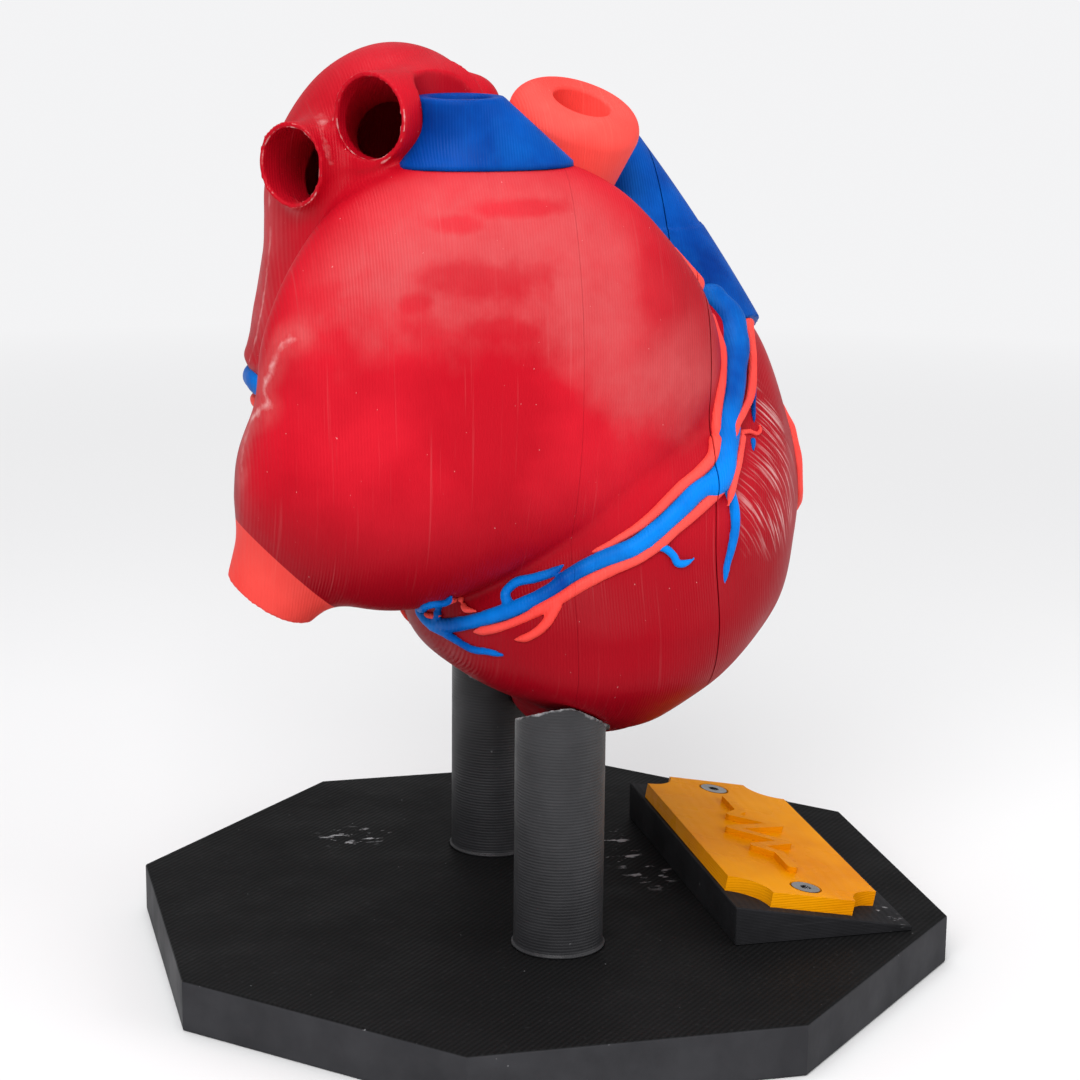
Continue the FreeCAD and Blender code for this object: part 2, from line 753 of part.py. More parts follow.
front_tools = across_seam("front_pocket", FRONT_MAGNETS, "front_seam", -deep, 0, pocket)
front_tools += across_seam("front_pin_hole", FRONT_PINS, "front_seam", -reach - slack, 0, loose)
middle_tools = across_seam("middle_pocket", FRONT_MAGNETS, "front_seam", 0, deep, pocket)
middle_tools += across_seam("middle_back_pocket", REAR_MAGNETS, "rear_seam", -deep, 0, pocket)
middle_tools += across_seam("middle_pin_hole", FRONT_PINS, "front_seam", 0, reach, tight)
middle_tools += across_seam("middle_back_pin_hole", REAR_PINS, "rear_seam", -reach, 0, tight)
middle_tools += peg_sockets()
rear_tools = across_seam("rear_pocket", REAR_MAGNETS, "rear_seam", 0, deep, pocket)
rear_tools += across_seam("rear_pin_hole", REAR_PINS, "rear_seam", 0, reach + slack, loose)
rear_tools += [aorta_cleared, trunk_cleared]

label(make_wall("front", [], front_tools), "front_shell")
label(make_wall("middle", [], middle_tools), "middle_shell")
label(make_wall("rear", stubs, rear_tools), "rear_shell")

aorta_lumen = rod("aorta_lumen", place("aorta_root"), place("aorta_mouth"), "sizes.aorta_bore", overrun)
label(take_away("aorta_pipe", aorta_blank, [aorta_lumen]), "aorta")
trunk = take_away("trunk_pipe", trunk_blank, [trunk_lumen, aorta_blank])
label(keep_inside("trunk_lower", trunk, front_room), "pulmonary_trunk_front")
label(keep_inside("trunk_upper", trunk, not_front), "pulmonary_trunk_rear")
label(take_away("cava_pipe", cava_blank, [cava_lumen]), "superior_vena_cava")
label(take_away("lower_cava_pipe", lower_cava_blank, [lower_lumen]), "inferior_vena_cava")

for name, spots, seam, near, far in (
    ("front_magnets", FRONT_MAGNETS, "front_seam", -deep, -gap),
    ("middle_front_magnets", FRONT_MAGNETS, "front_seam", gap, deep),
    ("middle_rear_magnets", REAR_MAGNETS, "rear_seam", -deep, -gap),
    ("rear_magnets", REAR_MAGNETS, "rear_seam", gap, deep),
):
    discs = doc.addObject("Part::Compound", f"{name}_discs")
    discs.Links = across_seam(f"{name}_disc", spots, seam, near, far, magnet)
    label(discs, name)
for name, spots, seam in (
    ("front_pins", FRONT_PINS, "front_seam"),
    ("rear_pins", REAR_PINS, "rear_seam"),
):
    dowels = doc.addObject("Part::Compound", f"{name}_dowels")
    dowels.Links = across_seam(f"{name}_dowel", spots, seam, -reach, reach, pin)
    label(dowels, name)

# ---------------------------------------------------------------- vessels on the surface
# A surface vessel is a raised strip: its route, seen from one side, is given its width, drawn through
# the heart and kept where it lies between the muscle and the muscle grown by the strip's height.
# Routes seen from the heart's right are (back, up); those seen from the front or back are (across, up).
RIGHT_VEIN = (
    ((-31, 69.5), (-33.5, 65.5), (-33.3, 61), (-30.7, 55), (-27.7, 47), (-25.3, 40), (-21.3, 37),
     (-10.8, 29), (-3, 24.5), (3.8, 21.4), (13.9, 15.2), (22, 11.5)),
)
RIGHT_VEIN_BRANCHES = (
    ((-26.5, 40), (-27.7, 35), (-28.4, 29.3), (-26.7, 20)),
    ((-10.8, 28.5), (-14.6, 27), (-20, 24.5)),
    ((11, 16), (8.5, 13), (5.2, 11)),
    ((-30, 56), (-34.6, 52), (-33.7, 44.5)),
)
RIGHT_ARTERY = (
    ((-25.5, 70), (-29, 64.5), (-27.8, 57), (-26.3, 50.5), (-23.5, 43), (-19.4, 40.2), (-14.4, 35.7),
     (-8, 29), (-3, 21.5), (3.9, 17.8), (10.9, 12.5), (18, 9.5)),
)
RIGHT_ARTERY_BRANCHES = (
    ((-39, 64), (-36, 60), (-34, 54), (-30, 48), (-26, 43)),
    ((3.9, 17.8), (5.4, 13.5), (5.2, 9.8)),
)
FRONT_ARTERY = (((8, 60), (-4, 52), (-13, 42), (-13, 34), (-9, 26), (-3, 14), (6, 2)),)
FRONT_ARTERY_BRANCHES = (
    ((-4, 52), (8, 42), (18, 28)),
    ((-12, 38), (2, 27), (12, 12)),
)
FRONT_VEIN = (((14, 58), (2, 51), (-7, 42), (-7.5, 33), (-3.5, 24), (4, 13)),)
BACK_SINUS = (((33, 42), (22, 49), (8, 53), (-6, 51), (-14, 46)),)
BACK_VEINS = (((8, 53), (12, 38), (13, 24), (12, 10)),)
BACK_ARTERY = (((33, 34), (22, 41), (8, 44.5), (-6, 43)),)
BACK_ARTERY_BRANCHES = (((5, 44), (5, 30), (6, 16), (4, 6)),)


def strip(name, route, width, facing, start, depth):
    """One route given its width and drawn straight through the heart, as a prism."""
    thing = doc.addObject("Part::Feature", name)
    line = Part.makePolygon([Vector(x, y, 0) for x, y in route])
    outline = Part.Face(line.makeOffset2D(width / 2, 0, False, False, False))
    thing.Shape = outline.extrude(Vector(0, 0, depth))
    base = start + Vector(0, 0, size("heart_datum"))
    thing.Placement = Placement(base, facing)
    return thing


RELIEFS = {"artery": "sizes.artery_relief", "vein": "sizes.vein_relief"}
skins = {
    (slab_name, kind): lobes_in(slab_name, f"{slab_name}_{kind}_skin", relief)
    for slab_name in SLABS
    for kind, relief in RELIEFS.items()
}
# A route is drawn this deep into the heart from clear of its right side or back, and towards the
# front from behind the front seam.
side_depth = 64
right_start, front_start, back_start = -66, -18, 66
FACINGS = {
    "right": (Rotation(Vector(1, 1, 1), 120), Vector(right_start, 0, 0)),
    "front": (Rotation(Vector(1, 0, 0), 90), Vector(0, front_start, 0)),
    "back": (Rotation(Vector(1, 0, 0), 90), Vector(0, back_start, 0)),
}


def raised(name, slab_name, kind, seen_from, wide, narrow, width_alias, under=()):
    """Wide and narrow routes as one strip raised from the muscle of a slab, over what lies under it."""
    facing, start = FACINGS[seen_from]
    widths = [size(width_alias)] * len(wide) + [size("branch_width")] * len(narrow)
    prisms = []
    for number, (route, width) in enumerate(zip(wide + narrow, widths), 1):
        prisms.append(strip(f"{name}_run_{number}", route, width, facing, start, side_depth))
    runs = join(f"{name}_runs", prisms) if len(prisms) > 1 else prisms[0]
    skin = keep_inside(f"{name}_skin", runs, skins[slab_name, kind])
    below = [outside[slab_name], *vessel_seats, *under]
    return one_by_one(f"{name}_raised", "Part::Cut", skin, below)


for slab_name in SLABS:
    artery = raised(f"{slab_name}_right_artery", slab_name, "artery", "right",
                    RIGHT_ARTERY, RIGHT_ARTERY_BRANCHES, "artery_width")
    label(artery, f"right_coronary_artery_{slab_name}")
    vein = raised(f"{slab_name}_right_vein", slab_name, "vein", "right",
                  RIGHT_VEIN, RIGHT_VEIN_BRANCHES, "vein_width", [artery])
    label(vein, f"cardiac_vein_{slab_name}")
artery = raised("front_artery", "front", "artery", "front",
                FRONT_ARTERY, FRONT_ARTERY_BRANCHES, "artery_width")
label(artery, "anterior_artery")
vein = raised("front_vein", "front", "vein", "front", FRONT_VEIN, (), "artery_width", [artery])
label(vein, "anterior_vein")
artery = raised("back_artery", "rear", "artery", "back", BACK_ARTERY, BACK_ARTERY_BRANCHES, "artery_width")
label(artery, "posterior_artery")
vein = raised("back_sinus", "rear", "vein", "back", BACK_SINUS, BACK_VEINS, "sinus_width", [artery])
label(vein, "coronary_sinus")

# ---------------------------------------------------------------- check and write
doc.recompute()
faults = [thing.Name for thing in doc.Objects if {"Invalid", "Error"} & set(thing.State)]
for thing in parts:
    if thing.Shape.isNull() or not thing.Shape.isValid():
        faults.append(f"{thing.Label}: shape")
if faults:
    raise RuntimeError(f"these did not build: {faults}")
os.makedirs("parts", exist_ok=True)
for thing in parts:
    thing.Shape.exportStep(f"parts/{thing.Label}.step")
    print(thing.Label, "solids", len(thing.Shape.Solids), "volume", round(thing.Shape.Volume, 1))
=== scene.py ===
import math
from functools import partialmethod

import bmesh
import bpy
import numpy as np
import openvdb
from mathutils import Matrix, Vector


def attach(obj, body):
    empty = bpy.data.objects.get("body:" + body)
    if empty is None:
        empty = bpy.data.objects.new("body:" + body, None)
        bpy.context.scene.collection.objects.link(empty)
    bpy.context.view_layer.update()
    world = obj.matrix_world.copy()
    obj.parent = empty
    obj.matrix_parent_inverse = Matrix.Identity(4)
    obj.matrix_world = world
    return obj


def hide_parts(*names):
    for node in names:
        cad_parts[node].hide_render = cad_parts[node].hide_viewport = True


# The looks of a take-apart teaching heart on its stand. Everything is worked out in millimetres in the
# frame of the CAD part and turned into metres when a mesh is made. +Z is up, the heart's front faces -Y
# and its own right side, the side most seen, faces -X.
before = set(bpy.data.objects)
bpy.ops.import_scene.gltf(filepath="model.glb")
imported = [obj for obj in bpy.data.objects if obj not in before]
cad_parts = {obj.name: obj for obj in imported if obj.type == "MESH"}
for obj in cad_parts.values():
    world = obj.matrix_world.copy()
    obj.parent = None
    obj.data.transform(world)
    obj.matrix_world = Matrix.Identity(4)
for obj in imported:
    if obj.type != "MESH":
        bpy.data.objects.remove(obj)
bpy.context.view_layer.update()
MM = 0.001
STEP = 0.5
POST_STEP = 0.3
VESSEL_STEP = 0.35

# ------------ sizes
FRONT_SEAM = -24
REAR_SEAM = 3
FRONT_HALF_GAP = 0.12
REAR_HALF_GAP = 0.02
# Lobes: middle and radii (across, back, up).
RIGHT_ATRIUM = ((-22, 15, 119), (21, 43, 36.6))
ATRIUM_FLOOR = ((-18, 32.5, 100), (23, 29.3, 24.7))
ATRIUM_SHOULDER = ((-22, 16.3, 130), (18, 36.5, 30))
LEFT_ATRIUM = ((5.5, 26.2, 131), (33, 28, 46.2))
ATRIUM_HUMP = ((4, 14, 165.5), (7, 6.3, 6))
ATRIUM_ROOF = 157
# How far the left atrium leans back: height and distance.
LEANS = np.array((
    (96, 0), (103, 1), (107, 1.8), (111, 2.1), (115, 2.1), (116.8, 2.8), (118.3, 3.2), (120.2, 2.35),
    (122.5, 1.4), (125.3, 0.6), (127.3, 0.1), (129.8, -0.5), (133, -1), (136, -1.3), (139, -1.5),
    (144.5, -1), (151, 0.4), (158, 1), (166, 1.6), (176, 1.9),
))
# The ventricles' outline: height, middle across and back, half width and half depth.
VENTRICLE_RINGS = np.array((
    (40.2, 15.2, -12.1, 4, 3), (42, 15.2, -12.1, 15.1, 11.2), (47, 10.4, -10.3, 24.3, 13.5),
    (54, 4.5, -8.7, 35.9, 18), (62, 1.3, -7.1, 43, 29.5), (72, 1.6, -9.2, 44.5, 36.7),
    (85, 4, -12.3, 42.7, 38.1), (100, 4.7, -14.6, 40.9, 35.4), (114, 5.8, -14.3, 35.3, 32),
    (126, 5.5, -15, 27.2, 25), (134, 5.5, -15, 16.4, 15.6), (138.2, 5.5, -15, 1, 1),
))
# How soft the fillets between neighbours are.
FLOOR_FILLET = 6
SHOULDER_FILLET = 3
HUMP_FILLET = 1.5
LUNG_VEIN_FILLET = 3.5
RIGHT_ATRIUM_FILLET = 1.6
LEFT_ATRIUM_FILLET = 2.2
LOWER_CAVA_FILLET = 4
TRUNK_FILLET = 2.5
# Chambers: middle and radii.
CHAMBERS = (
    ((-27, 14, 119), (12, 36, 29)),
    ((-12, -18, 84), (13, 24, 24)),
    ((21, -10, 84), (11, 24, 24)),
    ((8, 30, 134), (22, 19, 38)),
)
# Passages between the chambers: two ends and a radius.
PASSAGES = (
    ((-27, 8, 100), (-12, -14, 90), 8),
    ((14, 24, 106), (20, 0, 92), 8),
    ((-3, -34.6, 116), (-9, -24, 96), 7.5),
    ((3.6, 5, 136.8), (17, -5, 98), 7),
)
# Lung veins: mouth, inner end, outer radius, and the place in the left atrium that the bore leads to, with
# the bore's two radii on the way.
LUNG_VEINS = (
    ((-19.5, 37.2, 165.6), (-4.1, 19, 165.6), 8.2, (1, 27, 158), (7.3, 6)),
    ((-12.7, 50.3, 156.7), (1.1, 32.8, 156.7), 7.7, (5, 32, 152), (6.8, 6)),
    ((37.5, 34, 154), (15, 22, 153), 8.2, (20, 33, 143), (3.5, 3.5)),
    ((36.5, 41, 134), (14, 28, 134), 8.2, (18, 31, 139), (3.5, 3.5)),
)
LUNG_VEIN_LIP = 4
LUNG_VEIN_WALL = 0.9
AORTA_ROOT, AORTA_MOUTH = (3.6, 5, 136.8), (-3, -6.4, 166.8)
AORTA_FOOT_RADIUS = 10.9
AORTA_RADIUS = 12.5
AORTA_BORE = 5.5
AORTA_RIM = 4.2
AORTA_LIP = 0.7
# The slope of the aorta's mouth, which sets in at this share of its length.
AORTA_TILT = (0.16, -0.14, 0)
AORTA_TILT_START = 0.4
TRUNK_ROOT, TRUNK_BEND, TRUNK_MOUTH = (-1.1, -32.9, 119.1), (18, -15, 151), (37, -6, 155)
TRUNK_RADIUS = 10.8
TRUNK_BULGE = 0.6
TRUNK_LEDGE = 142
TRUNK_LEDGE_DEPTH = 0.35
TRUNK_BORE = 7.5
TRUNK_BOX = ((-18, -50, 104), (52, 10, 172))
CAVA_TOP = (-19, 20.4, 169.2)
CAVA_INNER = (-26, 15, 144)
CAVA_RADIUS = 8.1
CAVA_BORE = 5.5
CAVA_FOOT_SHIFT = (-3, -4.1)
CAVA_LEDGE = 0.9
LOWER_CAVA_ROOT, LOWER_CAVA_MOUTH = (-16, 48, 90), (-13, 54.8, 77.2)
LOWER_CAVA_INNER = (-24, 36, 106)
LOWER_CAVA_RADII = (13.5, 8.9)
LOWER_CAVA_BORE = 5.6
# The lower vena cava is the part of the atrium's blended floor beyond this slanting plane.
LOWER_CAVA_PLANE = ((0, 61, 92.5), (0, 0.688, -0.725))
POST_SPOTS = {"right_post": (-28, 3), "left_post": (28, 3)}
POST_RADIUS = 8.5
POST_FOOT = 5
POST_TOP = 62
POST_BEAD = 0.45
POST_MARGIN = 1.5
BASE_TOP = 10
SCOOP_CLEARANCE = 0.45
PEG_RADIUS = 2.5
PEG_FORWARD = 7
PEG_TOP = 60.5
PEG_START = 0.6


# ------------ shapes as distance fields
# A place is (x, y, z), each a number or an array, so a field works on a whole grid or on a few points.
def blend(first, second, softness):
    """The union of two fields with a soft fillet."""
    share = np.clip(0.5 + 0.5 * (second - first) / softness, 0, 1)
    return second + (first - second) * share - softness * share * (1 - share)


def lobe(place, middle, radii):
    """Distance to an ellipsoid."""
    offsets = [(value - centre) / radius for value, centre, radius in zip(place, middle, radii)]
    inside = np.sqrt(sum(offset ** 2 for offset in offsets))
    steep = np.sqrt(sum((offset / radius) ** 2 for offset, radius in zip(offsets, radii)))
    return inside * (inside - 1) / np.maximum(steep, 1e-6)


def ball(place, middle, radius):
    return np.sqrt(sum((value - centre) ** 2 for value, centre in zip(place, middle))) - radius


def pipe(place, start, end, radius, end_radius=None, extra=0, bulge=0):
    """Distance to a round bar or cone with flat ends, longer by extra at each end."""
    run = np.subtract(end, start).astype(float)
    length = np.linalg.norm(run)
    run /= length
    offsets = [value - centre for value, centre in zip(place, start)]
    along = sum(offset * part for offset, part in zip(offsets, run))
    across = np.sqrt(np.maximum(sum(offset ** 2 for offset in offsets) - along ** 2, 0))
    share = np.clip(along / length, 0, 1)
    if end_radius is not None:
        radius = radius + (end_radius - radius) * share
    radius = radius + bulge * 4 * share * (1 - share)
    return np.maximum(across - radius, np.maximum(-extra - along, along - length - extra))


def through_knots(value, knots, levels):
    """A smooth curve through the levels at the knots."""
    slopes = np.gradient(levels, knots)
    value = np.clip(value, knots[0], knots[-1])
    index = np.clip(np.searchsorted(knots, value) - 1, 0, len(knots) - 2)
    span = knots[index + 1] - knots[index]
    t = (value - knots[index]) / span
    low = levels[index] * (1 + 2 * t) * (1 - t) ** 2 + slopes[index] * span * t * (1 - t) ** 2
    high = levels[index + 1] * t * t * (3 - 2 * t) + slopes[index + 1] * span * t * t * (t - 1)
    return low + high


def furthest(holds, low, high):
    """The largest value between low and high up to which a condition on arrays holds."""
    for _ in range(24):
        middle = (low + high) / 2
        held = holds(middle)
        low, high = np.where(held, middle, low), np.where(held, high, middle)
    return low


def ventricles(place):
    """Distance to the ventricles: an ellipse at each height."""
    x, y, z = place
    z = np.asarray(z, dtype=float)
    up, across, back, width, depth = VENTRICLE_RINGS.T
    step = 0.5
    middle_x = through_knots(z, up, across)
    middle_y = through_knots(z, up, back)
    squares = [np.maximum(through_knots(z, up, side ** 2), 0.2) for side in (width, depth)]
    higher = [np.maximum(through_knots(z + step, up, side ** 2), 0.2) for side in (width, depth)]
    lean = [(high - low) / (2 * step * low) for high, low in zip(higher, squares)]
    part_x = (x - middle_x) ** 2 / squares[0]
    part_y = (y - middle_y) ** 2 / squares[1]
    rho = np.sqrt(part_x + part_y) + 1e-6
    flat_slope = np.sqrt(part_x / squares[0] + part_y / squares[1]) / rho
    up_slope = (part_x * lean[0] + part_y * lean[1]) / rho * np.minimum(1, 1.5 / rho)
    side = (rho - 1) / np.sqrt(flat_slope ** 2 + up_slope ** 2 + 1e-6)
    return np.maximum(side, np.maximum(up[0] - z, z - up[-1]))


def atrium(place):
    low = blend(lobe(place, *RIGHT_ATRIUM), lobe(place, *ATRIUM_FLOOR), FLOOR_FILLET)
    return blend(low, lobe(place, *ATRIUM_SHOULDER), SHOULDER_FILLET)


def muscle(place):
    """The heart's whole outside, without the great vessels."""
    x, y, z = place
    left = lobe((x, y - through_knots(z, *LEANS.T), z), *LEFT_ATRIUM)
    left = blend(left, lobe(place, *ATRIUM_HUMP), HUMP_FILLET)
    for mouth, inner, radius, _, _ in LUNG_VEINS:
        left = blend(left, pipe(place, inner, mouth, radius), LUNG_VEIN_FILLET)
    both = blend(ventricles(place), np.maximum(atrium(place), z - ATRIUM_ROOF), RIGHT_ATRIUM_FILLET)
    return blend(both, left, LEFT_ATRIUM_FILLET)


def muscle_with_cava(place):
    lower_cava = pipe(place, LOWER_CAVA_ROOT, LOWER_CAVA_MOUTH, *LOWER_CAVA_RADII)
    return blend(muscle(place), lower_cava, LOWER_CAVA_FILLET)


def hollows(place):
    """Chambers, passages and bores."""
    space = pipe(place, LOWER_CAVA_INNER, LOWER_CAVA_MOUTH, LOWER_CAVA_BORE, extra=2)
    for middle, radii in CHAMBERS:
        space = np.minimum(space, lobe(place, middle, radii))
    for start, end, radius in PASSAGES:
        space = np.minimum(space, pipe(place, start, end, radius, extra=1))
    for mouth, inner, radius, chamber, radii in LUNG_VEINS:
        outward = np.subtract(mouth, inner) / np.linalg.norm(np.subtract(mouth, inner))
        throat = np.subtract(mouth, outward * LUNG_VEIN_LIP)
        space = np.minimum(space, pipe(place, throat, mouth, radius - LUNG_VEIN_WALL, extra=1.5))
        space = np.minimum(space, pipe(place, throat, chamber, *radii, extra=1.5))
    cava = pipe(place, CAVA_INNER, CAVA_TOP, CAVA_BORE)
    return np.minimum(space, np.maximum(cava, place[2] - ATRIUM_ROOF - 1))


def trunk_outside(place, grown=0):
    rise = pipe(place, TRUNK_ROOT, TRUNK_BEND, TRUNK_RADIUS + grown, bulge=TRUNK_BULGE)
    rise = np.minimum(rise, np.maximum(rise - TRUNK_LEDGE_DEPTH, place[2] - TRUNK_LEDGE - grown))
    over = pipe(place, TRUNK_BEND, TRUNK_MOUTH, TRUNK_RADIUS + grown)
    return blend(np.minimum(rise, ball(place, TRUNK_BEND, TRUNK_RADIUS + grown)), over, TRUNK_FILLET)


def trunk_lumen(place):
    rise = pipe(place, TRUNK_ROOT, TRUNK_BEND, TRUNK_BORE, extra=1)
    over = pipe(place, TRUNK_BEND, TRUNK_MOUTH, TRUNK_BORE, extra=1)
    return np.minimum(np.minimum(rise, ball(place, TRUNK_BEND, TRUNK_BORE)), over)


def aorta_outside(place, grown=0):
    return pipe(place, AORTA_ROOT, AORTA_MOUTH, AORTA_FOOT_RADIUS + grown, AORTA_RADIUS + grown, extra=grown)


def trunk(place):
    pipe_wall = np.maximum(trunk_outside(place), -trunk_lumen(place))
    return np.maximum(pipe_wall, -aorta_outside(place, 0.1))


def slab(place, seat_gap):
    """A slab's muscle: outside, hollows, and the seats of aorta, trunk and upper vena cava."""
    solid = np.maximum(muscle_with_cava(place), -hollows(place))
    solid = np.maximum(solid, -aorta_outside(place, seat_gap))
    cava_foot = (*CAVA_TOP[:2], ATRIUM_ROOF)
    solid = np.maximum(solid, -pipe(place, cava_foot, CAVA_TOP, CAVA_RADIUS + 0.1, extra=4))
    return np.maximum(solid, -trunk_outside(place, seat_gap))


def post(place, spot):
    """A round post with a bead at its foot, scooped to the ventricles' underside, and its peg."""
    x, y, z = place
    column = pipe(place, (*spot, POST_FOOT), (*spot, POST_TOP), POST_RADIUS)
    bead = pipe(place, (*spot, BASE_TOP), (*spot, BASE_TOP + POST_BEAD), POST_RADIUS + POST_BEAD)
    column = np.minimum(column, bead)
    scoop = -ventricles((x, np.minimum(y, REAR_SEAM), z + SCOOP_CLEARANCE))
    peg_foot = (spot[0], spot[1] - PEG_FORWARD, POST_TOP / 2)
    peg = pipe(place, peg_foot, (*peg_foot[:2], PEG_TOP), PEG_RADIUS)
    return np.minimum(np.maximum(column, scoop), np.maximum(peg, -PEG_START - scoop))


# ------------ meshes from fields
def mesh_from(points, faces):
    made = bmesh.new()
    vertices = [made.verts.new(point) for point in points]
    for face in faces:
        made.faces.new([vertices[index] for index in face])
    bmesh.ops.remove_doubles(made, verts=made.verts, dist=0.001)
    bmesh.ops.recalc_face_normals(made, faces=made.faces[:])
    for face in made.faces:
        face.smooth = True
    return made


def zero_surface(distances, corner, step):
    """Points and quads of the surface where a grid of distances is zero."""
    far = 3 * step
    grid = openvdb.FloatGrid(far)
    grid.copyFromArray(np.clip(distances, -far, far).astype(np.float32))
    points, quads = grid.convertToQuads(0.0)
    return np.asarray(points, dtype=float) * step + corner, np.asarray(quads)


def surface(field, low, high, step):
    """Points and quads of the surface where a field is zero, closed at the sides of a box."""
    axes = [np.arange(start, end + step, step) for start, end in zip(low, high)]
    distances = field(np.ix_(*axes))
    distances = np.pad(distances[1:-1, 1:-1, 1:-1], 1, constant_values=np.inf)
    return zero_surface(distances, low, step)


# Directions and starts of the waves that make a printed, organic surface uneven.
WAVES = (
    ((0.21, 0.13, 0.17), 0.3),
    ((-0.11, 0.19, 0.23), 1.9),
    ((0.17, -0.23, 0.12), 4.1),
    ((0.31, 0.28, -0.35), 2.6),
    ((-0.42, 0.33, 0.27), 5.2),
)


def unevenness(points):
    """A slow waviness between about -1 and 1."""
    total = np.zeros(len(points))
    for number, (turn, start) in enumerate(WAVES, 1):
        total += np.sin(points @ np.array(turn) + start) / number
    return total / 1.6


def field_normals(field, points, step=0.3):
    slopes = np.empty_like(points)
    for axis, shift in enumerate(np.eye(3) * step):
        slopes[:, axis] = field(tuple((points + shift).T)) - field(tuple((points - shift).T))
    return slopes / np.maximum(np.linalg.norm(slopes, axis=1, keepdims=True), 1e-9)


def cut(made, point, normal):
    """Takes off what lies beyond a plane and closes the mesh with a flat face there."""
    everything = made.verts[:] + made.edges[:] + made.faces[:]
    result = bmesh.ops.bisect_plane(
        made, geom=everything, dist=1e-5, plane_co=point, plane_no=normal, clear_outer=True
    )
    rim = [item for item in result["geom_cut"] if isinstance(item, bmesh.types.BMEdge)]
    if not rim:
        return
    for edge in rim:
        edge.smooth = False
    filled = bmesh.ops.triangle_fill(made, use_beauty=True, edges=rim, normal=normal)
    for item in filled["geom"]:
        if isinstance(item, bmesh.types.BMFace):
            item.smooth = False


def drop_crumbs(made, smallest=40):
    """Removes loose islands with fewer points than smallest."""
    seen = set()
    crumbs = []
    for start in made.verts:
        if start in seen:
            continue
        island = [start]
        seen.add(start)
        for vertex in island:
            for edge in vertex.link_edges:
                other = edge.other_vert(vertex)
                if other not in seen:
                    seen.add(other)
                    island.append(other)
        if len(island) < smallest:
            crumbs += island
    bmesh.ops.delete(made, geom=crumbs, context="VERTS")


def show(name, data):
    shown = bpy.data.objects.new(name, data)
    bpy.context.scene.collection.objects.link(shown)
    return shown


def piece(name, made, body, node, finish):
    """Turns a bmesh in millimetres into an object that rides on a body and stands for a CAD node."""
    material, slot = finish
    bmesh.ops.scale(made, vec=(MM, MM, MM), verts=made.verts)
    bmesh.ops.recalc_face_normals(made, faces=made.faces[:])
    mesh = bpy.data.meshes.new(name)
    made.to_mesh(mesh)
    made.free()
    mesh.materials.append(material)
    shown = show(name, mesh)
    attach(shown, body)
    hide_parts(node)


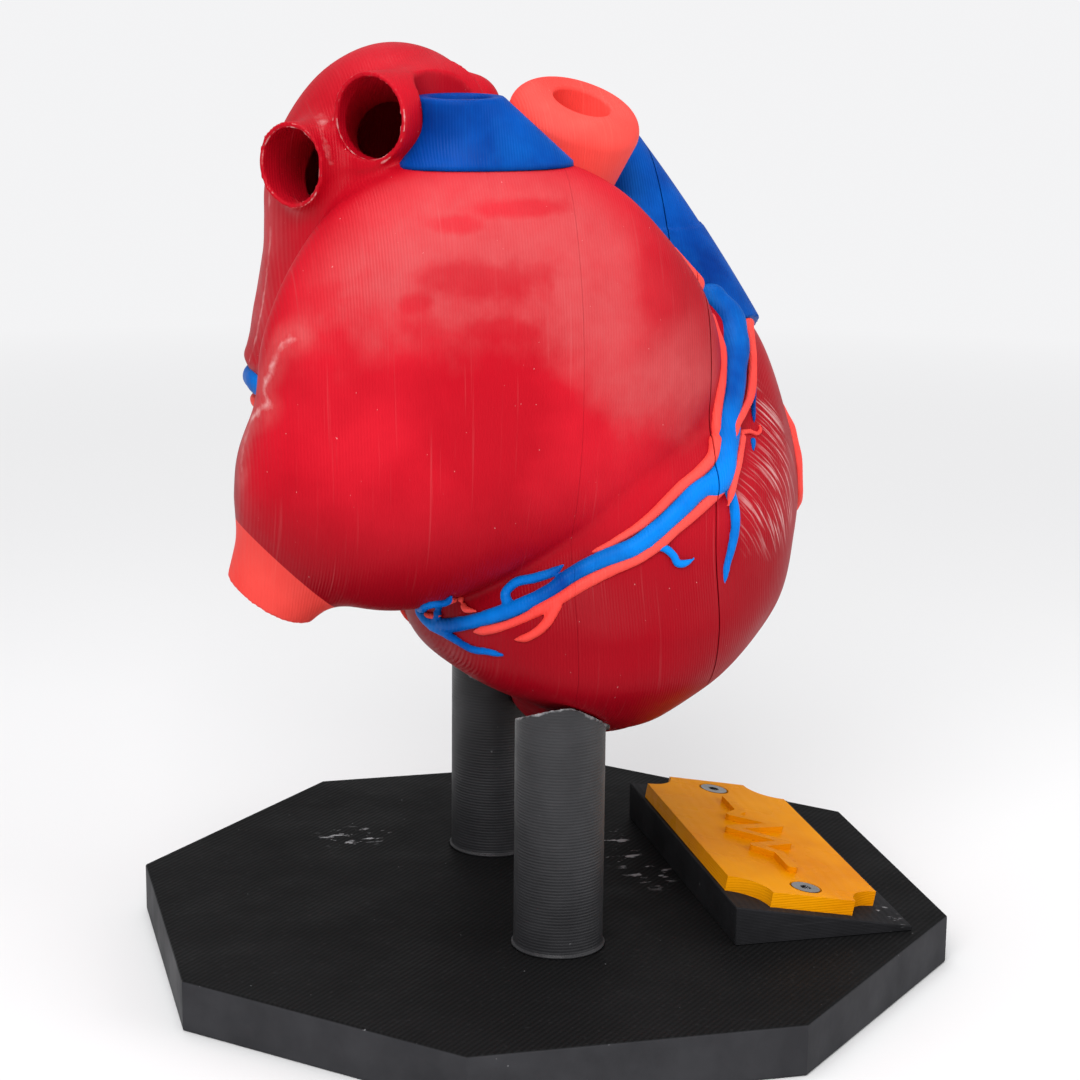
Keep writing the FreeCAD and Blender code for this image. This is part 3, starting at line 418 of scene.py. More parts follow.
# ------------ materials
class Nodes:
    """A short way to write a node material. Places and distances are in millimetres in the object's own
    frame, scales of noise are per metre, and tone is the colour so far."""

    def __init__(self, name):
        self.material = bpy.data.materials.new(name)
        self.material.use_nodes = True
        self.tree = self.material.node_tree
        self.shader = self.tree.nodes["Principled BSDF"]
        self.metres = self.add("ShaderNodeTexCoord", {}).outputs["Object"]
        self.place = self.vector("SCALE", self.metres, 1 / MM)
        self.x, self.y, self.z = self.add("ShaderNodeSeparateXYZ", {0: self.place}).outputs[:3]

    def fill(self, node, values):
        """Gives a node's inputs, by name or number, values or links."""
        for name, value in values.items():
            socket = node.inputs[name]
            if isinstance(value, bpy.types.NodeSocket):
                self.tree.links.new(value, socket)
            else:
                socket.default_value = (*value, 1) if socket.type == "RGBA" else value

    def add(self, kind, values, **settings):
        """A new node with inputs and settings."""
        node = self.tree.nodes.new(kind)
        for name, setting in settings.items():
            setattr(node, name, setting)
        self.fill(node, values)
        return node

    def noise(self, scale, stretch=(1, 1, 1), detail=3, roughness=0.55):
        """Noise with features about 1 / scale metres long, drawn out by stretch."""
        spot = self.add("ShaderNodeMapping", {"Vector": self.metres, "Scale": stretch}).outputs[0]
        values = {"Vector": spot, "Scale": scale, "Detail": detail, "Roughness": roughness}
        return self.add("ShaderNodeTexNoise", values).outputs["Fac"]

    def ramp(self, factor, low, high, at_low=0, at_high=1, smooth=False):
        values = {"Value": factor, "From Min": low, "From Max": high, "To Min": at_low, "To Max": at_high}
        kind = "SMOOTHSTEP" if smooth else "LINEAR"
        return self.add("ShaderNodeMapRange", values, interpolation_type=kind).outputs[0]

    ease = partialmethod(ramp, smooth=True)

    def mix(self, factor, first, second):
        return self.add("ShaderNodeMix", {0: factor, 6: first, 7: second}, data_type="RGBA").outputs[2]

    def maths(self, operation, first, second=0):
        return self.add("ShaderNodeMath", {0: first, 1: second}, operation=operation).outputs[0]

    def vector(self, operation, first, second=(0, 0, 0)):
        """A vector, or a number where the operation gives one."""
        values = {0: first, "Scale" if operation == "SCALE" else 1: second}
        node = self.add("ShaderNodeVectorMath", values, operation=operation)
        return node.outputs["Value" if operation in ("DOT_PRODUCT", "LENGTH", "DISTANCE") else "Vector"]

    def chain(self, operation, *parts):
        total = parts[0]
        for part in parts[1:]:
            total = self.maths(operation, total, part)
        return total

    product = partialmethod(chain, "MULTIPLY")
    sum = partialmethod(chain, "ADD")
    least = partialmethod(chain, "MINIMUM")
    most = partialmethod(chain, "MAXIMUM")

    def patch(self, middle, radii):
        """0 at the middle of an ellipsoid and 1 at its edge."""
        away = self.vector("SUBTRACT", self.place, middle)
        return self.vector("LENGTH", self.vector("MULTIPLY", away, [1 / radius for radius in radii]))

    def from_path(self, *points):
        """Distance to the straight lines through some points."""
        distances = []
        for start, end in zip(points, points[1:]):
            run = Vector(end) - Vector(start)
            away = self.vector("SUBTRACT", self.place, start)
            along = self.vector("DOT_PRODUCT", away, run.normalized())
            foot = self.vector("SCALE", run.normalized(), self.least(self.most(along, 0), run.length))
            distances.append(self.vector("DISTANCE", away, foot))
        return self.least(*distances)

    def from_ring(self, middle, end, radius):
        """Distance to a circle round the axis from end to middle."""
        axis = (Vector(middle) - Vector(end)).normalized()
        away = self.vector("SUBTRACT", self.place, middle)
        along = self.vector("DOT_PRODUCT", away, axis)
        off = self.maths("SUBTRACT", self.vector("DISTANCE", away, self.vector("SCALE", axis, along)), radius)
        return self.maths("SQRT", self.sum(self.product(off, off), self.product(along, along)))

    def hairs(self, along, across, through, bend, pitch, length):
        """Noise in fine curved hairs: they run along, lie side by side across, and bend at a place."""
        away = self.vector("SUBTRACT", self.place, through)
        run = self.vector("DOT_PRODUCT", away, along)
        side = self.sum(self.vector("DOT_PRODUCT", away, across), self.product(run, run, bend))
        values = {"X": self.product(side, 1 / pitch), "Y": self.product(run, 1 / length)}
        spot = self.add("ShaderNodeCombineXYZ", values).outputs[0]
        return self.add("ShaderNodeTexNoise", {"Vector": spot, "Scale": 1, "Detail": 2}).outputs["Fac"]

    def layers(self, direction, pitch):
        """Layer lines square to a direction: an even wave from 0 to 1, and the odd proud layer."""
        along = self.vector("DOT_PRODUCT", self.place, direction)
        even = self.ramp(self.maths("SINE", self.product(along, math.tau / pitch)), -1, 1)
        stretch = tuple(1 if part else 0.02 for part in direction)
        return even, self.noise(1 / (pitch * MM), stretch, detail=1.5)

    def two_tones(self, deep, bright, scale=38):
        """Starts the colour with two tones in soft patches."""
        self.tone = self.mix(self.ramp(self.noise(scale, detail=4), 0.36, 0.64), deep, bright)

    def paint(self, cover, *factors):
        """Lays a colour over the tone, as strongly as the product of the factors."""
        self.tone = self.mix(self.product(*factors), self.tone, cover)

    def specks(self, cover, strength, scale=1500, rare=0.79):
        self.paint(cover, self.ramp(self.noise(scale, detail=1), rare, 0.83, 0, strength))

    def bump(self, height, distance, strength, below=None):
        values = {"Height": height, "Distance": distance * MM, "Strength": strength}
        if below is not None:
            values["Normal"] = below
        return self.add("ShaderNodeBump", values).outputs[0]

    def finish(self, slot, rough, gloss, even, single, proud=1.2):
        """Closes the material with its roughness range, level of reflection and layer relief."""
        fine = self.bump(self.sum(even, self.product(single, proud)), 0.06, 0.5)
        self.fill(self.shader, {
            "Base Color": self.tone, "Roughness": self.ramp(self.noise(60), 0.35, 0.65, *rough),
            "Specular IOR Level": gloss, "Normal": self.bump(self.noise(180), 0.4, 0.3, fine),
        })
        return self.material, slot


FRONT_TO_BACK = (0, 1, 0)
UPRIGHT = (0, 0, 1)
DIAGONAL = (math.sqrt(0.5), math.sqrt(0.5), 0)
LAYER_PITCH = 0.52
PALE = (0.9, 0.62, 0.6)
PALE_GREY = (0.55, 0.55, 0.57)
BACKDROP = (0.9, 0.9, 0.91)


def printed_plastic(name, slot, deep, bright, sheen_and_marks, rough, sheen_amount, gloss, direction=FRONT_TO_BACK):
    """Satin printed plastic: two tones in soft patches, a faint painted sheen in random patches, layer lines
    and dust specks.
    """
    nodes = Nodes(name)
    nodes.two_tones(deep, bright)
    even, single = nodes.layers(direction, LAYER_PITCH)
    # A faint painted sheen in random patches, stronger on the layer crests; the same pale colour also marks
    # proud layers and dust specks.
    painted_sheen = nodes.ramp(nodes.noise(45, detail=5, roughness=0.6), 0.5, 0.72)
    nodes.paint(sheen_and_marks, painted_sheen, nodes.ramp(even, 0, 1, 0.7, 1), sheen_amount)
    nodes.paint(sheen_and_marks, nodes.ramp(single, 0.62, 0.8, 0, 0.12))
    nodes.specks(sheen_and_marks, 0.4)
    return nodes.finish(slot, rough, gloss, even, single, 1.4)


# Gaps in the right atrium's painted reflection, darker where dents face elsewhere: middle and radii.
SHEEN_GAPS = (
    ((-35.5, 24.8, 148.6), (4, 3.6, 1.5)),
    ((-34.7, 13, 151), (5, 9, 1.5)),
    ((-39.2, 20.9, 139.2), (5, 10.5, 3)),
    ((-38.7, 32.5, 135.3), (4, 3, 1.8)),
    ((-31.9, 48.3, 134.5), (5, 4.5, 4)),
    ((-34.4, -12.4, 137), (7, 4.5, 9)),
    ((-41.8, 17.4, 130.7), (4, 7, 2.2)),
)
# The right atrium's rear edge and the left atrium's far edge, where the support left pale marks and a
# highlight is painted.
ATRIUM_EDGE = (
    (-31.1, 52.1, 128.9), (-28.7, 54.6, 127.4), (-26.9, 56.5, 121.5), (-25, 57.5, 118.8),
    (-27.4, 56.8, 116.2), (-22.9, 58.5, 113.7), (-19.9, 59.1, 111.8), (-19.7, 60, 108.3),
    (-21.9, 61.1, 103.3),
)
SUPPORT_SCARS = ((2, 51.8, 150), (2, 52, 142), (2, 52.4, 137), (2, 54.2, 127), (2, 55.8, 119))
# The ridge between the two near lung veins, where a pale highlight is painted.
VEIN_RIDGE_HIGHLIGHT = ((-1.3, 43.2, 166.4), (-15.7, 44.7, 163.3), (-18.7, 43.1, 157.3))
# The hair-like strands, pale partly as a painted highlight: their run, the way they lie side by side, and
# their two patches.
STRAND_RUN, STRAND_SIDE = (0.37, -0.49, -0.79), (0.564, -0.557, 0.61)
STRAND_PATCHES = (((-24, -38, 95), (14, 14, 13)), ((-20, -38, 108), (6, 8, 9)))


def make_muscle():
    """The muscle's deep red, with painted shade low down, inwards and in front. The right atrium has a
    painted pale reflection above an uneven lower edge, and the front of the ventricles has fine hair-like
    strands, pale partly as a painted highlight."""
    nodes = Nodes("muscle_plastic")
    nodes.two_tones((0.47, 0.0025, 0.012), (0.6, 0.007, 0.02))
    even, single = nodes.layers(FRONT_TO_BACK, LAYER_PITCH)
    wander = nodes.noise(70, detail=6)
    cloud = nodes.noise(150, detail=6, roughness=0.65)
    patchy = nodes.noise(420, detail=3)
    broken = nodes.ramp(nodes.noise(160, detail=4), 0.4, 0.6)

    # Painted shade: darker low down, inwards and in front.
    low = nodes.ease(nodes.z, 108, 78, 0, 0.9)
    inward = nodes.ease(nodes.x, -30, -16, 0, 0.75)
    inward = nodes.product(inward, nodes.ramp(nodes.z, 128, 108, 0.3, 1))
    in_front = nodes.ease(nodes.y, -4, -20, 0, 0.5)
    nodes.paint((0.25, 0.0006, 0.006), nodes.most(low, inward, in_front))

    # A painted pale reflection over the right atrium's upper part, above an uneven lower edge.
    level = nodes.sum(nodes.z, nodes.product(nodes.maths("SUBTRACT", wander, 0.5), 35))
    edge = nodes.ease(nodes.y, -10, 12, 107, 127)
    above = nodes.ease(nodes.maths("SUBTRACT", level, edge), -4, 14)
    outward = nodes.ease(nodes.x, -24, -36)
    backward = nodes.most(nodes.ease(nodes.y, -16, 0, 0.25, 1), nodes.ramp(nodes.z, 136, 122))
    painted_sheen = nodes.product(above, outward, backward)
    ragged = nodes.sum(nodes.product(wander, 1.6), nodes.product(cloud, 0.8))
    for middle, radii in SHEEN_GAPS:
        near = nodes.sum(nodes.patch(middle, radii), ragged)
        painted_sheen = nodes.product(painted_sheen, nodes.ease(near, 1.7, 2.7, 0.35, 1))
    clouded = nodes.ramp(cloud, 0.3, 0.7, 0.6, 1)
    nodes.paint((0.55, 0.075, 0.08), painted_sheen, clouded, nodes.ramp(even, 0, 1, 0.8, 1))

    from_edge = nodes.from_path(*ATRIUM_EDGE)
    # A painted highlight along the atria's far edges.
    painted_edge_highlight = nodes.ease(nodes.sum(from_edge, nodes.product(wander, 4)), 3, 7, 0.45, 0)
    nodes.paint((0.62, 0.12, 0.12), painted_edge_highlight, nodes.ramp(cloud, 0.35, 0.65, 0.3, 1))
    frayed = nodes.product(patchy, 3.4)
    # Pale support marks; along the atria's edges the pale line also stands for a painted highlight.
    scar_and_highlight = nodes.least(from_edge, nodes.from_path(*SUPPORT_SCARS))
    nodes.paint(PALE, nodes.ramp(nodes.sum(scar_and_highlight, frayed), 1.3, 2.6, 0.55, 0), broken)
    # A painted highlight on the ridge between the lung veins.
    ridge_highlight = nodes.from_path(*VEIN_RIDGE_HIGHLIGHT)
    nodes.paint(PALE, nodes.ramp(nodes.sum(ridge_highlight, frayed), 1.3, 2.8, 0.35, 0), broken)
    rims = [
        nodes.from_ring(mouth, inner, radius - wall)
        for mouth, inner, radius, _, _ in LUNG_VEINS[:2] for wall in (0, LUNG_VEIN_WALL)
    ]
    rim = nodes.sum(nodes.least(*rims), nodes.product(patchy, 0.9))
    nodes.paint(PALE, nodes.ramp(rim, 0.35, 0.65, 0.65, 0))

    # Fine strands on the front of the ventricles: real striations whose paleness is partly a painted
    # highlight, laid where the highlight sits.
    strands = nodes.hairs(STRAND_RUN, STRAND_SIDE, (-25, -38, 95), bend=0.011, pitch=0.65, length=13)
    patches = nodes.least(*[nodes.patch(middle, radii) for middle, radii in STRAND_PATCHES])
    where = nodes.ramp(nodes.sum(patches, nodes.product(wander, 0.8)), 1.4, 0.9)
    outside = nodes.product(nodes.ramp(nodes.y, -26.2, -28), nodes.ramp(cloud, 0.35, 0.6, 0.4, 1))
    nodes.paint(PALE, nodes.ramp(strands, 0.52, 0.64), where, outside, 0.5)
    nodes.paint(PALE, nodes.ramp(single, 0.66, 0.82, 0, 0.04))
    nodes.specks(PALE, 0.35, rare=0.8)
    return nodes.finish("muscle_red", (0.38, 0.52), 0.08, even, single)


# Each paired with the name of a material slot.
MUSCLE = make_muscle()
CORAL = printed_plastic(
    "artery_plastic", "artery_red", (0.8, 0.05, 0.04), (0.87, 0.075, 0.06), (0.95, 0.26, 0.2),
    rough=(0.5, 0.65), sheen_amount=0.12, gloss=0.15,
)
BLUE = printed_plastic(
    "great_vein_plastic", "vein_blue", (0.0002, 0.028, 0.2), (0.0004, 0.08, 0.42), (0.003, 0.16, 0.6),
    rough=(0.36, 0.5), sheen_amount=0.4, gloss=0.05,
)
VEIN_BLUE = printed_plastic(
    "vein_plastic", "vein_blue", (0.0004, 0.042, 0.27), (0.001, 0.2, 0.72), (0.01, 0.3, 0.85),
    rough=(0.36, 0.5), sheen_amount=0.3, gloss=0.06,
)
YELLOW = printed_plastic(
    "plate_plastic", "plate_yellow", (0.68, 0.22, 0.0005), (0.8, 0.3, 0.0008), (0.9, 0.45, 0.02),
    rough=(0.22, 0.34), sheen_amount=0.08, gloss=0.02, direction=UPRIGHT,
)


def make_stand(name, pitch, deep, bright, scuffs, gloss=0.03, flat_top=False, rims=()):
    """Matte black print with a few pale scuffs (middle, radii) and pale strings along rims. A flat top has
    painted shade, darker than the sides, and slanting lines."""
    nodes = Nodes(name)
    nodes.two_tones(deep, bright, scale=90)
    even, single = nodes.layers(UPRIGHT, pitch)
    if flat_top:
        on_top = nodes.ramp(nodes.z, BASE_TOP - 0.35, BASE_TOP - 0.15)
        slanting, odd = nodes.layers(DIAGONAL, 1.1)
        # Painted shade: the flat top is darker than the sides.
        shade = nodes.mix(nodes.noise(45, detail=5), (0.004, 0.004, 0.004), (0.009, 0.009, 0.0095))
        nodes.paint(shade, on_top)
        even = nodes.sum(nodes.ramp(on_top, 0, 1, 0.35, 0), nodes.product(slanting, on_top))
        single = nodes.product(odd, on_top)
    pale = (0.2, 0.2, 0.21)
    nodes.paint(pale, nodes.ramp(even, 0, 1, 0, 0.02))
    nodes.paint(pale, nodes.ramp(single, 0.62, 0.8, 0, 0.04))
    scratches = nodes.ramp(nodes.noise(520, stretch=(1, 0.45, 1), detail=4, roughness=0.6), 0.57, 0.63)
    for middle, radii in scuffs:
        nodes.paint(PALE_GREY, scratches, nodes.ramp(nodes.patch(middle, radii), 1, 0.5), 0.55)
    nodes.specks(PALE_GREY, 0.25, scale=900)
    for rim in rims:
        string = nodes.sum(nodes.from_path(*rim), nodes.product(nodes.noise(600, detail=3), 1.6))
        nodes.paint(PALE_GREY, nodes.ramp(string, 0.85, 1.3, 0.5, 0))
    return nodes.finish("stand_black", (0.42, 0.58), gloss, even, single)


def post_rim(spot):
    """Points on the rim of a post's scoop."""
    turns = np.arange(17) * math.tau / 16
    x, y = spot[0] + POST_RADIUS * np.cos(turns), spot[1] + POST_RADIUS * np.sin(turns)
    forward = np.minimum(y, REAR_SEAM)
    rim = furthest(lambda z: ventricles((x, forward, z + SCOOP_CLEARANCE)) > 0, 40, 75)
    return list(zip(x, y, np.minimum(rim, POST_TOP)))


BASE_BLACK = make_stand(
    "base_plastic", 0.4, (0.03, 0.03, 0.033), (0.041, 0.041, 0.045),
    (((20, -21, 10), (14, 7, 3)), ((5, -24, 10), (12, 6, 3)), ((38, 31, 10), (7, 9, 3))), flat_top=True,
)
WEDGE_BLACK = make_stand(
    "wedge_plastic", 0.3, (0.011, 0.011, 0.012), (0.018, 0.018, 0.02), (((-32, -62, 11.3), (7, 3, 3)),)
)
POST_BLACK = make_stand(
    "post_plastic", 0.6, (0.016, 0.016, 0.018), (0.026, 0.026, 0.029), (), gloss=0.4,
    rims=[post_rim(spot) for spot in POST_SPOTS.values()],
)


def metal(name, tone, rough):
    nodes = Nodes(name)
    tarnish = nodes.ramp(nodes.noise(700, detail=3), 0.35, 0.7)
    scratches = nodes.noise(3000, stretch=(1, 0.1, 1), detail=2)
    nodes.fill(nodes.shader, {
        "Base Color": nodes.mix(tarnish, tone, (0.45, 0.44, 0.43)), "Metallic": 1,
        "Roughness": nodes.ramp(tarnish, 0, 1, rough, rough + 0.15),
        "Normal": nodes.bump(scratches, 0.03, 0.4),
    })
    return nodes.material


STEEL = metal("screw_metal", (0.6, 0.6, 0.62), 0.1)
NICKEL = metal("magnet_metal", (0.78, 0.77, 0.74), 0.15)
PIN_STEEL = metal("pin_metal", (0.62, 0.62, 0.64), 0.3)

# ------------ the three slabs
# Each slab's box, and the planes that it is cut at: a point and the direction of what is taken off.
SLAB_BOXES = {
    "front": ((-44, -58, 36), (52, -21, 142)),
    "middle": ((-48, -27, 36), (52, 6, 166)),
    "rear": ((-50, 0, 42), (50, 68, 182)),
}
SLAB_PLANES = {
    "front": (((0, FRONT_SEAM - FRONT_HALF_GAP, 0), (0, 1, 0)),),
    "middle": (
        ((0, FRONT_SEAM + FRONT_HALF_GAP, 0), (0, -1, 0)),
        ((0, REAR_SEAM - REAR_HALF_GAP, 0), (0, 1, 0)),
    ),
    "rear": (((0, REAR_SEAM + REAR_HALF_GAP, 0), (0, -1, 0)),),
}
# How much wider than the aorta and trunk their seats in each slab are.
SEAT_GAPS = {"front": -0.1, "middle": -0.1, "rear": 0.3}
SKIN_DEPTH = 0.6
WAVINESS = 0.22
# Loose islands of a slab with fewer points than this are slivers of its cut.
SLAB_SMALLEST = 1000


def make_slab(name):
    points, quads = surface(lambda place: slab(place, SEAT_GAPS[name]), *SLAB_BOXES[name], STEP)
    normals = field_normals(muscle_with_cava, points)
    skin = np.abs(muscle_with_cava(tuple(points.T))) < SKIN_DEPTH
    points[skin] += normals[skin] * (unevenness(points[skin]) * WAVINESS)[:, None]
    made = mesh_from(points, quads)
    for plane in SLAB_PLANES[name]:
        cut(made, *plane)
    return made


slabs = {name: make_slab(name) for name in SLAB_BOXES}
lower_cava = slabs["rear"].copy()
cut(slabs["rear"], *LOWER_CAVA_PLANE)
cut(lower_cava, LOWER_CAVA_PLANE[0], [-part for part in LOWER_CAVA_PLANE[1]])
for name, made in slabs.items():
    drop_crumbs(made, SLAB_SMALLEST)
    piece(f"{name}_muscle", made, f"heart_{name}", f"{name}_shell", MUSCLE)
drop_crumbs(lower_cava)
piece("lower_cava", lower_cava, "heart_rear", "inferior_vena_cava", CORAL)

# ------------ great vessels
TURNS = np.arange(96) * math.tau / 96


def stacked_rings(rings):
    """A closed ring-shaped mesh through rings of as many points each, the last joined to the first."""
    points = [point for ring in rings for point in ring]
    sides = len(rings[0])
    faces = []
    for start in range(0, len(points), sides):
        for side in range(sides):
            here, beside = start + side, start + (side + 1) % sides
            faces.append((here, beside, (beside + sides) % len(points), (here + sides) % len(points)))
    return mesh_from(points, faces)


def lathe(profile, start, end):
    """A closed ring of revolution: profile is a loop of (distance along the axis, radius)."""
    run = (Vector(end) - Vector(start)).normalized()
    first = run.orthogonal().normalized()
    second = run.cross(first)
    spokes = [first * math.cos(turn) + second * math.sin(turn) for turn in TURNS]
    return stacked_rings([
        [Vector(start) + run * along + spoke * radius for spoke in spokes] for along, radius in profile
    ])


def arc(centre, radius, start_turn, end_turn, steps):
    turns = [start_turn + (end_turn - start_turn) * step / steps for step in range(steps + 1)]
    return [(centre[0] + radius * math.sin(turn), centre[1] + radius * math.cos(turn)) for turn in turns]


def make_aorta():
    """The aorta flares to a thick rounded rim round a dished mouth that is tilted."""
    run = Vector(AORTA_MOUTH) - Vector(AORTA_ROOT)
    length = run.length
    profile = [(0, AORTA_FOOT_RADIUS - 0.2), (length * 0.5, (AORTA_FOOT_RADIUS + AORTA_RADIUS) / 2 - 0.2)]
    profile += arc((length - AORTA_RIM, AORTA_RADIUS - AORTA_RIM), AORTA_RIM, 0, math.pi / 2, 12)
    profile += arc((length - AORTA_LIP - 0.2, AORTA_BORE + AORTA_LIP), AORTA_LIP, math.pi / 2, math.pi, 10)
    profile += [(length - 6, AORTA_BORE - 0.1), (length * 0.55, AORTA_BORE - 0.2), (0, AORTA_BORE - 0.3)]
    made = lathe(profile, AORTA_ROOT, AORTA_MOUTH)
    axis = run.normalized()
    tilt = Vector(AORTA_TILT)
    tilt -= axis * axis.dot(tilt)
    for vertex in made.verts:
        away = vertex.co - Vector(AORTA_ROOT)
        share = max(0.0, axis.dot(away) / length - AORTA_TILT_START) / (1 - AORTA_TILT_START)
        vertex.co += axis * tilt.dot(away) * share
    return made


def make_cava():
    """The upper vena cava: from the atrium's sliced top to a round mouth, hollowed behind."""
    x, y = CAVA_TOP[0] + CAVA_FOOT_SHIFT[0], CAVA_TOP[1] + CAVA_FOOT_SHIFT[1]
    across, back = np.cos(TURNS), np.sin(TURNS)
    # How far the atrium's sliced top reaches in each direction.
    foot = furthest(lambda reach: atrium((x + reach * across, y + reach * back, ATRIUM_ROOF)) < 0, 2.0, 30.0)
    backward = (1 + back) / 2
    height = CAVA_TOP[2] - ATRIUM_ROOF
    rings = []

    def add_ring(shift, z, radii):
        """A ring whose middle is shifted sideways from the cava's top."""
        x = CAVA_TOP[0] + shift[0] + radii * across
        y = CAVA_TOP[1] + shift[1] + radii * back
        rings.append(np.column_stack((x, y, np.full(len(TURNS), z))))

    add_ring(CAVA_FOOT_SHIFT, ATRIUM_ROOF, foot + 0.1)
    for row in range(17):
        rise = row / 16
        share = rise * (1 - backward) + (1 - (1 - rise) ** 2.4) * backward
        shift = [part * (1 - share) for part in CAVA_FOOT_SHIFT]
        z = ATRIUM_ROOF + CAVA_LEDGE + (height - CAVA_LEDGE - 0.3) * rise
        add_ring(shift, z, foot * (1 - share) + CAVA_RADIUS * share)
    top = CAVA_TOP[2]
    for z, radius in ((top, CAVA_RADIUS - 0.4), (top, CAVA_BORE + 0.5), (top - 0.6, CAVA_BORE)):
        add_ring((0, 0), z, radius)
    depth = height / (CAVA_TOP[2] - CAVA_INNER[2])
    inward = [(inner - outer) * depth for inner, outer in zip(CAVA_INNER[:2], CAVA_TOP[:2])]
    add_ring(inward, ATRIUM_ROOF, CAVA_BORE)
    return stacked_rings(rings)


piece("aorta_pipe", make_aorta(), "heart_middle", "aorta", CORAL)
whole_trunk = mesh_from(*surface(trunk, *TRUNK_BOX, STEP))
for half, slab_name in (("front", "front"), ("rear", "middle")):
    made = whole_trunk.copy()
    cut(made, *SLAB_PLANES[slab_name][0])
    drop_crumbs(made)
    piece(f"trunk_{half}", made, f"heart_{slab_name}", f"pulmonary_trunk_{half}", BLUE)
piece("upper_cava", make_cava(), "heart_rear", "superior_vena_cava", BLUE)

# ------------ vessels on the surface
ROUTE_SPACING = 0.5
TIP_LENGTH = 2.5
VESSEL_DEPTH = 0.3
VESSEL_MARGIN = 3.0
VESSEL_REACH = 1.5
VESSEL_NEAR = 1.2


def smooth_route(points):
    """Even points along a smooth curve through the given ones."""
    points = np.array(points, dtype=float)
    lengths = np.concatenate(([0], np.cumsum(np.linalg.norm(np.diff(points, axis=0), axis=1))))
    samples = np.arange(0, lengths[-1], ROUTE_SPACING)
    return np.stack([through_knots(samples, lengths, points[:, axis]) for axis in range(3)], axis=1)


def snap(points):
    """Moves points onto the heart's surface."""
    for _ in range(6):
        normals = field_normals(muscle, points)
        points = points - normals * muscle(tuple(points.T))[:, None]
    return points, field_normals(muscle, points)


def beads(route, start_width, end_width, start_lift, end_lift):
    """A run as a row of balls: middles, held above the surface by the lift of the axis, and radii."""
    points, normals = snap(smooth_route(route))
    share = np.linspace(0, 1, len(points))
    radius = (start_width + (end_width - start_width) * share) / 2
    radius *= 1 + 0.08 * unevenness(points * 3.1)
    tip = np.minimum(1, (1 - share) * len(points) * ROUTE_SPACING / TIP_LENGTH)
    radius *= np.sqrt(np.maximum(tip, 0.15))
    lift = start_lift + (end_lift - start_lift) * share
    return np.column_stack((points + normals * lift[:, None], radius))


def vessel_mesh(runs, loose=()):
    """Rounded vessels from loose runs, given as (route, width), and runs half sunk in the surface."""
    balls = [beads(*run) for run in runs]
    for route, width in loose:
        points = smooth_route(route)
        balls.append(np.column_stack((points, np.full(len(points), width / 2))))
    balls = np.concatenate(balls)
    low = balls[:, :3].min(0) - VESSEL_MARGIN
    high = balls[:, :3].max(0) + VESSEL_MARGIN
    axes = [np.arange(start, end + VESSEL_STEP, VESSEL_STEP) for start, end in zip(low, high)]
    distances = np.full([len(axis) for axis in axes], VESSEL_MARGIN)
    for *middle, radius in balls:
        reach = radius + VESSEL_REACH
        window = tuple(
            slice(*np.searchsorted(axis, (centre - reach, centre + reach)))
            for axis, centre in zip(axes, middle)
        )
        place = np.ix_(*[axis[part] for axis, part in zip(axes, window)])
        distances[window] = np.minimum(distances[window], ball(place, middle, radius))
    near = distances < VESSEL_NEAR
    places = tuple(axis[index] for axis, index in zip(axes, np.nonzero(near)))
    distances[near] = np.maximum(distances[near], -(muscle(places) + VESSEL_DEPTH))
    return mesh_from(*zero_surface(distances, low, VESSEL_STEP))


# Runs: route, width at its start and end, and how high its axis is above the muscle at its start and end.
RIGHT_VEIN_RUNS = (
    (((-10, -30.4, 130), (-13.1, -33.2, 126.1), (-15.6, -32.8, 123.8), (-20.2, -31.4, 119.3),
      (-24.3, -29.9, 115), (-28.3, -28.6, 110.6), (-31.8, -27.2, 106.1), (-33.6, -26.1, 102.4),
      (-34.3, -24.7, 100.5), (-35.8, -20.5, 98.6)), 6.4, 4.6, -0.5, -0.3),
    (((-34, -25.4, 100.6), (-35.8, -19.8, 98.7), (-36.5, -16.8, 96.2), (-37, -11.6, 91.9),
      (-37.1, -8.3, 89.5), (-36.5, -2.6, 87.2), (-35.4, 3.4, 83.9), (-34.8, 6.5, 81.4), (-32.3, 12.4, 77.7),
      (-29.4, 16.2, 75.6), (-24.6, 20.4, 73.2), (-19.4, 23.1, 71.5), (-15.5, 25.2, 70.8), (-12.5, 27, 71.5),
      (-10, 29.5, 73)), 3.8, 2.6, 0, 0),
    (((-33.9, -26.3, 99.5), (-33.7, -27.7, 94.5), (-34, -27.8, 90.9), (-35, -27.2, 87.4),
      (-36.2, -26.2, 84.2), (-37.2, -25.6, 81.2)), 2.4, 1.4, 0, 0),
    (((-37.1, -8.8, 89.5), (-37.7, -14, 88.7), (-37.9, -15.3, 87.4), (-38.2, -16, 86.1), (-37.9, -18, 86.1),
      (-37.6, -19.4, 86.8)), 1.7, 1.4, 0.1, 0.1),
    (((-31.5, 13.6, 77.6), (-29.7, 14, 79.7), (-30.1, 12.5, 81.7), (-32.2, 9.2, 83.1), (-33.8, 5.7, 84.7),
      (-34.1, 4.1, 85.9)), 2, 1.7, 0.1, 0.1),
    (((-17, 26, 71.3), (-24, 28.5, 75.5), (-28.5, 28, 78.4), (-27.2, 24.8, 78.4),
      (-29.9, 24.4, 80.1)), 2, 1.6, 0.1, 0.1),
    (((-14.7, 24.7, 70.1), (-20.1, 22.6, 69.7), (-26, 19.3, 68.5), (-29.7, 16.9, 68.8),
      (-32.4, 14.6, 68.7)), 1.8, 1.2, 0.1, 0.1),
    (((-16.9, -36.3, 117.6), (-20.5, -35.5, 114.1), (-23.7, -34.7, 111),
      (-25.7, -34.5, 108.5)), 1, 1.2, 0.1, 0.1),
    (((-27.8, -33.6, 106.1), (-28.5, -33.5, 105), (-29.2, -33.3, 103.7)), 1.3, 1.1, 0.1, 0.1),
)
